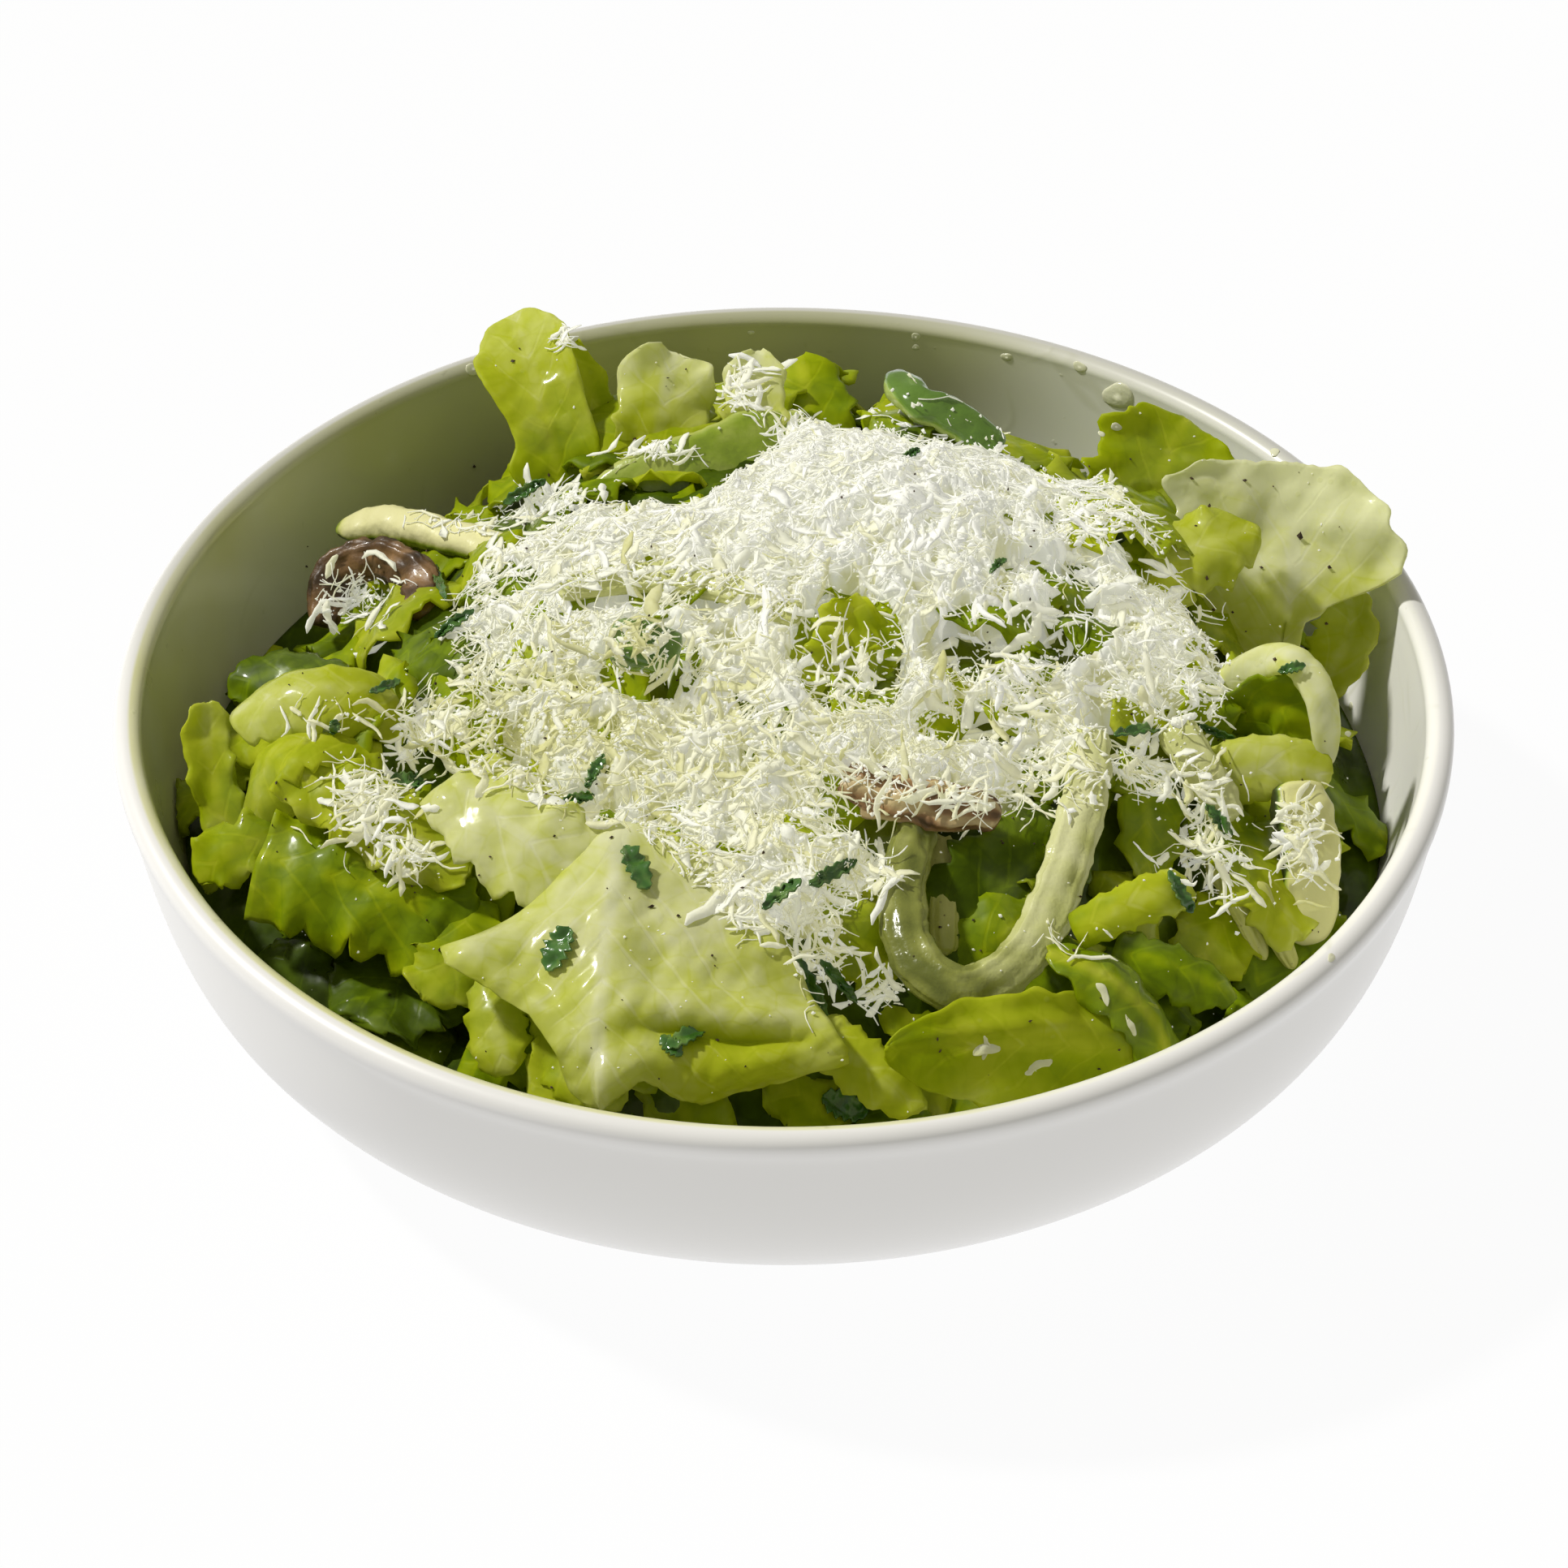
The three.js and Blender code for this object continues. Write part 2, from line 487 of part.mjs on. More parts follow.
// The middle surface of a leaf as a function of u along it and v across it
function leafSurface(piece, seed) {
  const leaf = { ...leafBasics, ...piece };
  const [base, mid, tip] = [vector(leaf.base), vector(leaf.mid), vector(leaf.tip)];
  const pull = mid.clone().multiplyScalar(2).addScaledVector(base, -0.5).addScaledVector(tip, -0.5);
  const spine = new THREE.QuadraticBezierCurve3(base, pull, tip);
  const face = vector(leaf.face);
  const length = mid.distanceTo(base) + tip.distanceTo(mid);
  const bend = THREE.MathUtils.degToRad(leaf.cup) / (leaf.left + leaf.right) + 1e-6;
  const phase = Array.from({ length: 8 }, (_, i) => draw(seed * 7 + i) * turn);
  const clear = leaf.thick / 2 + gap;
  return (uShare, v) => {
    const u = uShare * (1 - leafTipTrim);
    const tangent = spine.getTangent(u);
    const side = tangent.clone().cross(face).normalize();
    const normal = side.clone().cross(tangent);
    const roll = THREE.MathUtils.degToRad(leaf.twist) * (u - 0.5);
    side.applyAxisAngle(tangent, -roll);
    normal.applyAxisAngle(tangent, -roll);
    const edge = Math.abs(v);
    const edgePhase = v < 0 ? phase[0] : phase[1];
    const wave = turn * u * leaf.waves;
    const notch = Math.sin(wave * 1.7 + edgePhase * 2) + 0.6 * Math.sin(wave * 3.3 + edgePhase * 3);
    const lobes = 1 + leaf.lobe * edge ** 2 * notch * clamp(u * 4, 0, 1);
    const halfWidth = v < 0 ? leaf.left : leaf.right;
    const arc = v * halfWidth * leafWidth(u, leaf.root, leaf.belly, leaf.blunt) * lobes;
    const x = Math.sin(bend * arc) / bend;
    const curl = (1 - Math.cos(bend * arc)) / bend;
    const waveHeight = Math.sin(wave + edgePhase) + 0.45 * Math.sin(wave * 2.1 + edgePhase * 1.7);
    const ruffle = leaf.ruffle * edge ** 2.5 * waveHeight;
    const longBlister = Math.sin((u * length) / 17 + phase[4] + Math.sin(arc / 11 + phase[5]));
    const slant = (u * length) / 9 + arc / 14 + phase[6];
    const sideBlister = Math.cos((arc / 11 + phase[5]) * 0.7 + phase[7]);
    const shortBlister = Math.sin(slant * 1.1) * sideBlister;
    const buckle = leaf.buckle * (0.6 * longBlister + 0.5 * shortBlister);
    const along = 0.5 * leaf.ruffle * edge ** 3 * Math.cos(wave + edgePhase);
    const point = spine.getPoint(u).addScaledVector(side, x);
    point.addScaledVector(normal, curl + ruffle + buckle).addScaledVector(tangent, along);
    return keepInBowl(point, clear);
  };
}

const leafSeeds = Object.fromEntries(Object.keys(leafPieces).map((name, i) => [name, i + 3]));

function leafSolid(name, grow = 0) {
  const piece = leafPieces[name];
  const { cells, thick } = { ...leafBasics, ...piece };
  return sheet(leafSurface(piece, leafSeeds[name]), ...cells, thick, grow);
}

// A small folded leaf that stands on the heap and carries the middle of a raised leaf
function carryingLeaf(name) {
  const surface = leafSurface(leafPieces[name], leafSeeds[name]);
  const carried = surface(0.3, 0);
  const ahead = surface(0.4, 0).sub(carried).setZ(0).normalize();
  const foot = carried.clone().setZ(heapTop(carried.x, carried.y) - 4);
  foot.x *= 0.97;
  foot.y *= 0.97;
  const top = carried.clone().setZ(carried.z + 0.3);
  return sheet((u, v) => {
    const point = foot.clone().lerp(top, u).addScaledVector(ahead, v * (6 - 2 * u));
    return keepInBowl(point, leafThickness + gap);
  }, 1, 2, 1.6);
}

// A leaf lying on the heap from one radius out to another, at a height over the heap
function lyingLeaf(angle, fromRadius, toRadius, width, seed) {
  const swing = angle + (draw(seed) - 0.5) * 0.5;
  const at = (a, r, over) => {
    const [x, y] = [Math.cos(a) * r, Math.sin(a) * r];
    return [x, y, heapTop(x, y) + over];
  };
  return {
    base: at(angle, fromRadius, -1),
    mid: at((angle + swing) / 2, (fromRadius + toRadius) / 2, 6 + 3 * draw(seed + 40)),
    tip: at(swing, toRadius, 5 + 3 * draw(seed + 80)),
    left: width,
    right: width,
    face: [Math.cos(angle) * 0.5, Math.sin(angle) * 0.5, 0.8],
    root: 0.8,
    belly: 0.5,
    blunt: 2.5,
    cup: -25,
    buckle: 0.8,
    cells: [2, 3],
  };
}

// The leaves of the heap's foot all round, and of its far side
function lyingLeaves() {
  const footCount = 7;
  const farCount = 6;
  const foot = Array.from({ length: footCount }, (_, i) => {
    const angle = (turn * (i + 0.6 * draw(i + 300))) / footCount;
    return lyingLeaf(angle, 80, 103, 9 + 4 * draw(i + 320), i + 200);
  });
  const far = Array.from({ length: farCount }, (_, i) => {
    const angle = THREE.MathUtils.degToRad(18 + (144 * (i + 0.7 * draw(i + 400))) / farCount);
    const radius = i % 2 === 0 ? 54 : 66;
    return lyingLeaf(angle, radius, radius + 30, 11 + 4 * draw(i + 420), i + 260);
  });
  return [...foot, ...far].map((piece, i) => {
    return sheet(leafSurface(piece, i + 60), ...piece.cells, leafThickness);
  });
}

// Dark herb flakes, each given by its leaf, its place along and across it, and its length
const herbFlakes = [
  ['heroLeft', 0.16, 0.1, 6],
  ['heroLeft', 0.62, -0.6, 6],
  ['heroLeft', 0.42, 0.62, 4],
  ['heroRight', 0.78, -0.3, 6],
  ['heroRight', 0.9, -0.7, 5],
  ['rightPetal', 0.55, 0.1, 5],
];

function herbFlake([leaf, u, v, length], index) {
  const surface = leafSurface(leafPieces[leaf], leafSeeds[leaf]);
  const heading = draw(index + 500) * turn;
  const middle = surface(u, v);
  const across = surface(u, v + 0.02).sub(middle).normalize();
  const ahead = surface(u + 0.02, v).sub(middle).normalize();
  const up = ahead.clone().cross(across).normalize();
  up.multiplyScalar(Math.sign(up.z));
  const run = ahead.multiplyScalar(Math.cos(heading)).addScaledVector(across, Math.sin(heading));
  const wide = up.clone().cross(run).normalize();
  return sheet((s, w) => {
    const narrow = 0.25 + 0.75 * Math.sin(Math.PI * s);
    const rise = leafThickness / 2 + 0.9 * s;
    const point = middle.clone().addScaledVector(run, (s - 0.5) * length);
    return point.addScaledVector(wide, w * 0.28 * length * narrow).addScaledVector(up, rise);
  }, 1, 3, 0.9);
}

// The large toppings

const toppingPieces = {
  avocadoLeft: { path: [[-85, 61, 44], [-74, 54, 50], [-61, 42, 56], [-36, 17, 66]], width: 7,
    thick: 6, face: [0, -0.35, 1], ends: [0.12, 0.9], color: 0xc9c46a, cuts: [7, 8] },
  avocadoBack: { path: [[-34, 43, 60], [-25, 48, 66], [-13, 51, 69], [6, 60, 72]], width: 14,
    thick: 6, face: [0, -0.75, 0.6], ends: [0.4, 0.35], color: 0xb8c24f, cuts: [6, 8] },
  avocadoRight: { path: [[90, -26, 54], [92, -37, 45], [91, -46, 33]], width: 11, thick: 6,
    face: [0.2, -0.8, 0.6], ends: [0.7, 0.4], color: 0xd2cc84, cuts: [4, 8] },
  podBack: { path: [[20, 70, 74], [25, 59, 75], [32, 56, 73], [40, 52, 68]], width: 7, thick: 5,
    face: [0.2, -0.6, 0.8], ends: [0.12, 0.9], color: 0x556b1e, cuts: [6, 8] },
  podCut: { path: [[-29, -19, 78], [-24, -22, 81], [-19, -22, 78]], width: 9, thick: 8,
    face: [0, -0.5, 0.8], ends: [0.8, 0.8], color: 0x4f6a1c, cuts: [5, 8] },
  anchovyRoll: { path: [[-86, 33, 42], [-84, 41, 48], [-76, 41, 52], [-68, 33, 54],
    [-66, 21, 54]], width: 8, thick: 4, face: [0, -0.9, 0.4], ends: [0.6, 0.7], color: 0xa88a55,
    cuts: [9, 6] },
  anchovyFront: { path: [[-2, -37, 68], [12, -45, 68], [24, -49, 68], [37, -51, 67]], width: 8,
    thick: 3.5, face: [0, -0.7, 0.7], ends: [0.7, 0.5], color: 0xb59a6a, cuts: [8, 6] },
  fennelCurve: { path: [[23, -50, 64], [20, -63, 60], [22, -75, 56], [30, -81, 54],
    [40, -75, 56], [47, -60, 60], [52, -41, 65], [53, -29, 68]], width: 8, thick: 4,
    face: [0, -0.8, 0.6], ends: [0.8, 0.7], color: 0xd9d3a4, cuts: [14, 6] },
  fennelStrip: { path: [[-40, 0, 76], [-25, 0, 79], [-12, -5, 81], [3, -14, 81]], width: 5.5,
    thick: 3, face: [0, -0.5, 0.9], ends: [0.6, 0.7], color: 0xd8d09a, cuts: [7, 6] },
  celeryStick: { path: [[26, -44, 62], [27, -55, 57], [27, -68, 50]], width: 5.5, thick: 3,
    face: [0, -0.8, 0.6], ends: [0.9, 0.8], color: 0xbcb860, cuts: [4, 6] },
  stalkRight: { path: [[68, -20, 62], [73, -28, 58], [78, -35, 52]], width: 7, thick: 4,
    face: [0.1, -0.7, 0.7], ends: [0.9, 0.9], color: 0xd6cf8e, cuts: [4, 6] },
  stickLong: { path: [[74, -40, 48], [79, -46, 42], [84, -51, 34]], width: 3.4, thick: 2.2,
    face: [0, -0.7, 0.7], ends: [0.8, 0.3], color: 0xc7b95a, cuts: [4, 6] },
  stickShort: { path: [[82, -44, 46], [85, -48, 40], [89, -51, 32]], width: 3.4, thick: 2.2,
    face: [0, -0.7, 0.7], ends: [0.8, 0.5], color: 0xc7b95a, cuts: [4, 6] },
};

// The grated cheese

function cheeseEdge(angle) {
  const lobes = 3 * Math.sin(3 * angle + 0.6) + 4 * Math.sin(5 * angle + 2);
  return cheeseRadius + lobes + 2 * Math.sin(9 * angle);
}

function cheeseTop(x, y) {
  const [dx, dy] = [x - cheeseCentre[0], y - cheeseCentre[1]];
  const share = Math.hypot(dx, dy) / cheeseEdge(Math.atan2(dy, dx));
  const piles = cheesePiles.reduce((sum, pile) => sum + hump(pile, x, y), 0);
  const crown = cheeseDepth * clamp(1 - share ** 2, 0, 1);
  return heapTop(x, y) + 1.2 + crown + piles * Math.max(1.2 - share, 0);
}

function cheeseLump(x, y) {
  return 0.7 * Math.sin(x / 3.1 + 2 * Math.sin(y / 5.3)) * Math.cos(y / 3.7 + x / 8.9);
}

function cheeseCrust(grow = 0) {
  const top = (x, y) => cheeseTop(x, y) + cheeseLump(x, y);
  const edge = (x, y) => heapTop(x, y) - 0.8;
  const bottom = (x, y) => heapTop(x, y) - cheeseSink;
  return moundSolid(cheeseCentre, cheeseEdge, [top, edge, bottom], cheeseCuts, grow);
}

// Shreds spread over the cheese by the golden angle, each a bent strip with one end lifted
function cheeseShreds(grow = 0) {
  return Array.from({ length: shredCount }, (_, i) => {
    const angle = i * 2.39996 + 0.4 * draw(i + 600);
    const reach = cheeseEdge(angle) * Math.sqrt((i + 1.5) / shredCount) * 0.92;
    const x = cheeseCentre[0] + Math.cos(angle) * reach;
    const y = cheeseCentre[1] + Math.sin(angle) * reach;
    const heading = draw(i + 700) * turn;
    const length = 11 + 7 * draw(i + 800);
    const bend = (draw(i + 900) - 0.5) * 5;
    const lift = 3.5 * draw(i + 1000);
    const place = (s, sideways, up) => {
      const px = x + Math.cos(heading) * s - Math.sin(heading) * sideways;
      const py = y + Math.sin(heading) * s + Math.cos(heading) * sideways;
      return [px, py, cheeseTop(px, py) + up];
    };
    return bar({
      path: [place(-length / 2, 0, -0.3), place(0, bend, 0.6), place(length / 2, 0, lift)],
      width: shredWidth,
      thick: shredThickness,
      face: [0, 0, 1],
      ends: [0.8, 0.8],
    }, 2, 4, grow);
  });
}

// The whole, fitted piece to piece with a gap between neighbours

function buildToppings() {
  const bowlSpace = bowl(...bowlCuts, gap);
  const spaces = [];
  const solids = {};
  for (const [name, piece] of Object.entries(toppingPieces)) {
    const whole = bar(piece, ...piece.cuts);
    solids[name] = whole.subtract(join([bowlSpace, ...spaces]));
    spaces.push(bar(piece, ...piece.cuts, gap));
  }
  return { solids, space: join([...spaces, bowlSpace]) };
}

function buildSalad() {
  const bowlSolid = bowl(...bowlCuts);
  const toppings = buildToppings();
  const proud = proudLeaves.map((name) => leafSolid(name));
  const proudSpace = join(proudLeaves.map((name) => leafSolid(name, gap)));
  const cheese = join([cheeseCrust(), ...cheeseShreds()])
    .subtract(join([toppings.space, proudSpace]));
  const cheeseSpace = join([cheeseCrust(), cheeseCrust(gap), ...cheeseShreds(gap)]);
  const laid = Object.keys(leafPieces).filter((name) => !proudLeaves.includes(name));
  const under = [
    heapCore(),
    ...carriedLeaves.map(carryingLeaf),
    ...laid.map((name) => leafSolid(name)),
    ...lyingLeaves(),
    ...herbFlakes.map(herbFlake),
  ];
  const leaves = join([join(under).subtract(cheeseSpace), ...proud]).subtract(toppings.space);

  const group = new THREE.Group();
  group.add(meshFrom(bowlSolid, 'bowl', 0xe9e8e4, 0.25));
  group.add(meshFrom(leaves, 'salad_leaves', 0x9db04c, 0.4));
  group.add(meshFrom(cheese, 'grated_cheese', 0xf0e6cf, 0.6));
  for (const [name, solid] of Object.entries(toppings.solids)) {
    const nodeName = name.replace(/[A-Z]/g, (letter) => `_${letter.toLowerCase()}`);
    group.add(meshFrom(solid, nodeName, toppingPieces[name].color, 0.4));
  }
  return group;
}

export default buildSalad();
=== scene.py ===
# Caesar salad heaped in a low white bowl.
# Shapes are worked out in millimetres with the front at -Y, and addPiece turns them into metres.
import math

import bpy
import numpy as np
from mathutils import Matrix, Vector
from mathutils.bvhtree import BVHTree


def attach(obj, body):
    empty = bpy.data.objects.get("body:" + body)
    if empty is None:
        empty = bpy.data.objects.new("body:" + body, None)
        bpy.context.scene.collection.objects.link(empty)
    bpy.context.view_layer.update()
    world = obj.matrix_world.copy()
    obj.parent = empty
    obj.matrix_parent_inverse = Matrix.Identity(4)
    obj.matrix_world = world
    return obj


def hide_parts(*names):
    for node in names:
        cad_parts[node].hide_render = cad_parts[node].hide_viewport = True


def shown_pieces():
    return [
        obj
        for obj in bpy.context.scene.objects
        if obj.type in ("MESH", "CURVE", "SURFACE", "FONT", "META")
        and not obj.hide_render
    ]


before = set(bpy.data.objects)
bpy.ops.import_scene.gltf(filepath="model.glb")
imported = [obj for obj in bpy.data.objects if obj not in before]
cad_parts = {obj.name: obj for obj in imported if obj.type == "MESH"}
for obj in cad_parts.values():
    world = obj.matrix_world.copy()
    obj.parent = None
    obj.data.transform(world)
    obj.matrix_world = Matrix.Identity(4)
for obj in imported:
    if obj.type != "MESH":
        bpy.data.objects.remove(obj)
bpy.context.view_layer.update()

mm = 0.001
turn = 2 * math.pi


# small maths

def draw(number):
    # the same repeatable draw between 0 and 1 that shapes the solids
    x = math.sin(number * 12.9898 + 4.1) * 43758.5453
    return x - math.floor(x)


def unit(a):
    return a / np.maximum(np.linalg.norm(a, axis=-1, keepdims=True), 1e-9)


def blend(a, b, share):
    return a + (b - a) * share


def rise(x, low, high):
    # 0 below low, 1 above high and smooth between
    t = np.clip((x - low) / (high - low), 0, 1)
    return t * t * (3 - 2 * t)


def wobble(points, size, seed, octaves=3):
    # smooth uneven values near -1 to 1 over points, with swells about `size` mm apart
    rng = np.random.default_rng(seed)
    total = np.zeros(points.shape[:-1])
    strength = 1.0
    for _ in range(octaves):
        for _ in range(6):
            way = unit(rng.normal(size=3)) * turn / (size * rng.uniform(0.8, 1.5))
            total += strength * np.sin(points @ way + rng.uniform(0, turn))
        size, strength = size / 2.1, strength * 0.5
    return total / 3.4


# meshes

def show(thing):
    bpy.context.scene.collection.objects.link(thing)
    return thing


def addPiece(name, points, faceSets, finish, nodes, values=None, flat=False):
    # one closed mesh on the salad's only body, standing for one or more of the CAD nodes
    mesh = bpy.data.meshes.new(name)
    points = np.asarray(points, float).reshape(-1, 3)
    corners = np.concatenate([f.ravel() for f in faceSets])
    sizes = np.concatenate([np.full(len(f), f.shape[1]) for f in faceSets])
    mesh.vertices.add(len(points))
    mesh.vertices.foreach_set("co", (points * mm).astype(np.float32).ravel())
    mesh.loops.add(len(corners))
    mesh.loops.foreach_set("vertex_index", corners.astype(np.int32))
    mesh.polygons.add(len(sizes))
    starts = np.concatenate([[0], np.cumsum(sizes)[:-1]])
    mesh.polygons.foreach_set("loop_start", starts.astype(np.int32))
    mesh.polygons.foreach_set("use_smooth", np.full(len(sizes), not flat))
    for label, value in (values or {}).items():
        value = np.asarray(value, np.float32)
        kind = "FLOAT" if value.ndim == 1 else "FLOAT_VECTOR"
        data = mesh.attributes.new(label, kind, "POINT").data
        data.foreach_set("value" if value.ndim == 1 else "vector", value.ravel())
    mesh.update(calc_edges=True)
    mesh.validate()
    mesh.materials.append(finish)
    piece = show(bpy.data.objects.new(name, mesh))
    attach(piece, "root")
    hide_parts(*nodes)


def addLeaf(name, points, faces, values):
    addPiece(name, points, faces, leafFinish, ["salad_leaves"], values)


def addCheese(name, points, faces, tint):
    addPiece(name, points, faces, cheeseFinish, ["grated_cheese"], {"tint": tint})


class Heap:
    # gathers many small closed meshes into one
    def __init__(self):
        self.points, self.faces, self.values, self.count = [], [], [], 0

    def add(self, points, faces, values):
        points = points.reshape(-1, 3)
        self.points.append(points)
        self.faces += [f + self.count for f in faces]
        self.values.append(values)
        self.count += len(points)

    def finish(self, name, finish, slotName):
        widths = sorted({f.shape[1] for f in self.faces})
        faceSets = [np.concatenate([f for f in self.faces if f.shape[1] == w]) for w in widths]
        values = {k: np.concatenate([v[k] for v in self.values]) for k in self.values[0]}
        addPiece(name, np.concatenate(self.points), faceSets, finish,
                 ["salad_leaves"], values)


def sheetMesh(middle, thick):
    # a closed sheet of a thickness per point about a grid of points, along first and across second
    rows, columns = middle.shape[:2]
    ahead = np.gradient(middle, axis=0)
    aside = np.gradient(middle, axis=1)
    normal = unit(np.cross(ahead, aside))
    half = (np.broadcast_to(thick, (rows, columns)) / 2)[..., None]
    points = np.concatenate([(middle + normal * half).reshape(-1, 3),
                             (middle - normal * half).reshape(-1, 3)])
    at = np.arange(rows * columns).reshape(rows, columns)
    a, b, c, d = at[:-1, :-1], at[1:, :-1], at[1:, 1:], at[:-1, 1:]
    under = rows * columns
    top = np.stack([a, b, c, d], -1).reshape(-1, 4)
    low = np.stack([a, d, c, b], -1).reshape(-1, 4) + under
    edge = np.concatenate([at[:-1, 0], at[-1, :-1], at[:0:-1, -1], at[0, :0:-1]])
    following = np.roll(edge, -1)
    rim = np.stack([following, edge, edge + under, following + under], -1)
    return points, [np.concatenate([top, low, rim])]


def tubeMesh(rings):
    # a closed tube through rings of points, its ends capped
    count, sides = rings.shape[:2]
    at = np.arange(count * sides).reshape(count, sides)
    following = np.roll(at, -1, axis=1)
    walls = np.stack([at[:-1], following[:-1], following[1:], at[1:]], -1).reshape(-1, 4)
    spokes = np.arange(1, sides - 1)
    first = np.stack([np.zeros_like(spokes), spokes + 1, spokes], -1)
    last = np.stack([np.zeros_like(spokes), spokes, spokes + 1], -1) + at[-1, 0]
    return rings.reshape(-1, 3), [walls, np.concatenate([first, last])]


def curvePoints(stops, shares):
    # a smooth curve through the stops, with its direction at each share of the way
    stops = np.asarray(stops, float)
    last = len(stops) - 1
    place = np.clip(np.asarray(shares) * last, 0, last - 1e-9)
    i = place.astype(int)
    t = (place - i)[:, None]
    padded = np.vstack([2 * stops[0] - stops[1], stops, 2 * stops[-1] - stops[-2]])
    p0, p1, p2, p3 = (padded[i + k] for k in range(4))
    m1, m2 = (p2 - p0) / 2, (p3 - p1) / 2
    points = ((2 * t ** 3 - 3 * t ** 2 + 1) * p1 + (t ** 3 - 2 * t ** 2 + t) * m1
              + (3 * t ** 2 - 2 * t ** 3) * p2 + (t ** 3 - t ** 2) * m2)
    run = ((6 * t ** 2 - 6 * t) * p1 + (3 * t ** 2 - 4 * t + 1) * m1
           + (6 * t - 6 * t ** 2) * p2 + (3 * t ** 2 - 2 * t) * m2)
    return points, unit(run)


# finishes

class Value:
    # one socket of a finish, so that shader maths reads as plain arithmetic
    def __init__(self, finish, socket):
        self.finish, self.socket = finish, socket

    def maths(self, operation, first, second):
        return self.finish.node("ShaderNodeMath", {"operation": operation}, {0: first, 1: second})

    def __add__(self, other):
        return self.maths("ADD", self, other)

    def __sub__(self, other):
        return self.maths("SUBTRACT", self, other)

    def __rsub__(self, other):
        return self.maths("SUBTRACT", other, self)

    def __mul__(self, other):
        return self.maths("MULTIPLY", self, other)

    __radd__, __rmul__ = __add__, __mul__


class Finish:
    # a material built node by node
    def __init__(self, name):
        self.material = bpy.data.materials.new(name)
        self.material.use_nodes = True
        self.tree = self.material.node_tree
        self.tree.nodes.clear()

    def node(self, kind, settings=None, sockets=None, output=0):
        made = self.tree.nodes.new(kind)
        for key, setting in (settings or {}).items():
            if key == "stops":
                ramp = made.color_ramp.elements
                while len(ramp) < len(setting):
                    ramp.new(1.0)
                for element, (place, colour) in zip(ramp, setting):
                    element.position = place
                    element.color = (*colour, 1)
            else:
                setattr(made, key, setting)
        for key, value in (sockets or {}).items():
            if isinstance(value, Value):
                self.tree.links.new(value.socket, made.inputs[key])
            else:
                made.inputs[key].default_value = value
        return Value(self, made.outputs[output])

    def place(self):
        return self.node("ShaderNodeTexCoord", output="Object")

    def axes(self, vector):
        return [self.node("ShaderNodeSeparateXYZ", {}, {0: vector}, output=k) for k in range(3)]

    def grain(self, size, detail=3.0, vector=None, roughness=0.5):
        # noise from 0 to 1 with features about `size` mm wide
        return self.node("ShaderNodeTexNoise", {}, {
            "Vector": vector or self.place(), "Scale": 1000 / size, "Detail": detail,
            "Roughness": roughness})

    def cells(self, size, feature="DISTANCE_TO_EDGE", vector=None):
        return self.node("ShaderNodeTexVoronoi", {"feature": feature}, {
            "Vector": vector or self.place(), "Scale": 1000 / size})

    def given(self, label, output="Fac"):
        return self.node("ShaderNodeAttribute", {"attribute_name": label}, output=output)

    def range(self, value, low, high, start=0.0, end=1.0):
        return self.node("ShaderNodeMapRange", {"interpolation_type": "SMOOTHSTEP"}, {
            "Value": value, "From Min": low, "From Max": high, "To Min": start, "To Max": end})

    def ramp(self, value, stops):
        return self.node("ShaderNodeValToRGB", {"stops": stops}, {"Fac": value})

    def mix(self, share, first, second, mode="MIX"):
        colours = [c if isinstance(c, Value) else (*c, 1) for c in (first, second)]
        return self.node("ShaderNodeMix", {"data_type": "RGBA", "blend_type": mode}, {
            0: share, 6: colours[0], 7: colours[1]}, output=2)

    def bump(self, height, strength, distance):
        return self.node("ShaderNodeBump", {}, {
            "Height": height, "Strength": strength, "Distance": distance * mm})

    def close(self, surface):
        end = self.tree.nodes.new("ShaderNodeOutputMaterial")
        self.tree.links.new(surface.socket, end.inputs["Surface"])
        return self.material

    def shine(self, colour, roughness, normal, constants, through=None, share=0.0):
        # the shader itself, with light let through in one colour by a share
        sockets = {"Base Color": colour, "Roughness": roughness, "Normal": normal, **constants}
        surface = self.node("ShaderNodeBsdfPrincipled", {}, sockets)
        if through:
            soft = self.node("ShaderNodeBsdfTranslucent", {}, {"Color": (*through, 1),
                                                               "Normal": normal})
            surface = self.node("ShaderNodeMixShader", {}, {0: share, 1: surface, 2: soft})
        return self.close(surface)


glazeLook = {
    # one glaze in two whites: the outer face darker as painted shade, the unfilmed inner face
    # lighter as painted light
    "outsideWithPaintedShade": (0.80, 0.79, 0.775),
    "cleanInsideWithPaintedLight": (0.88, 0.87, 0.85),
    # the film's olive is dressing, and also painted shade on the shaded left of the wall
    "filmedAndShaded": (0.68, 0.67, 0.34),
    "stainAndShade": (0.42, 0.42, 0.20),
    "lipShade": (0.34, 0.34, 0.28),
    "backShadeShare": 0.7,     # how strongly each mark covers the glaze; the rear wall mark and the lip mark are painted shade
    "streakShare": 0.22,
    "spotShare": 0.25,
    "lipShadeShare": 0.55,
    "coat": 0.25,
}


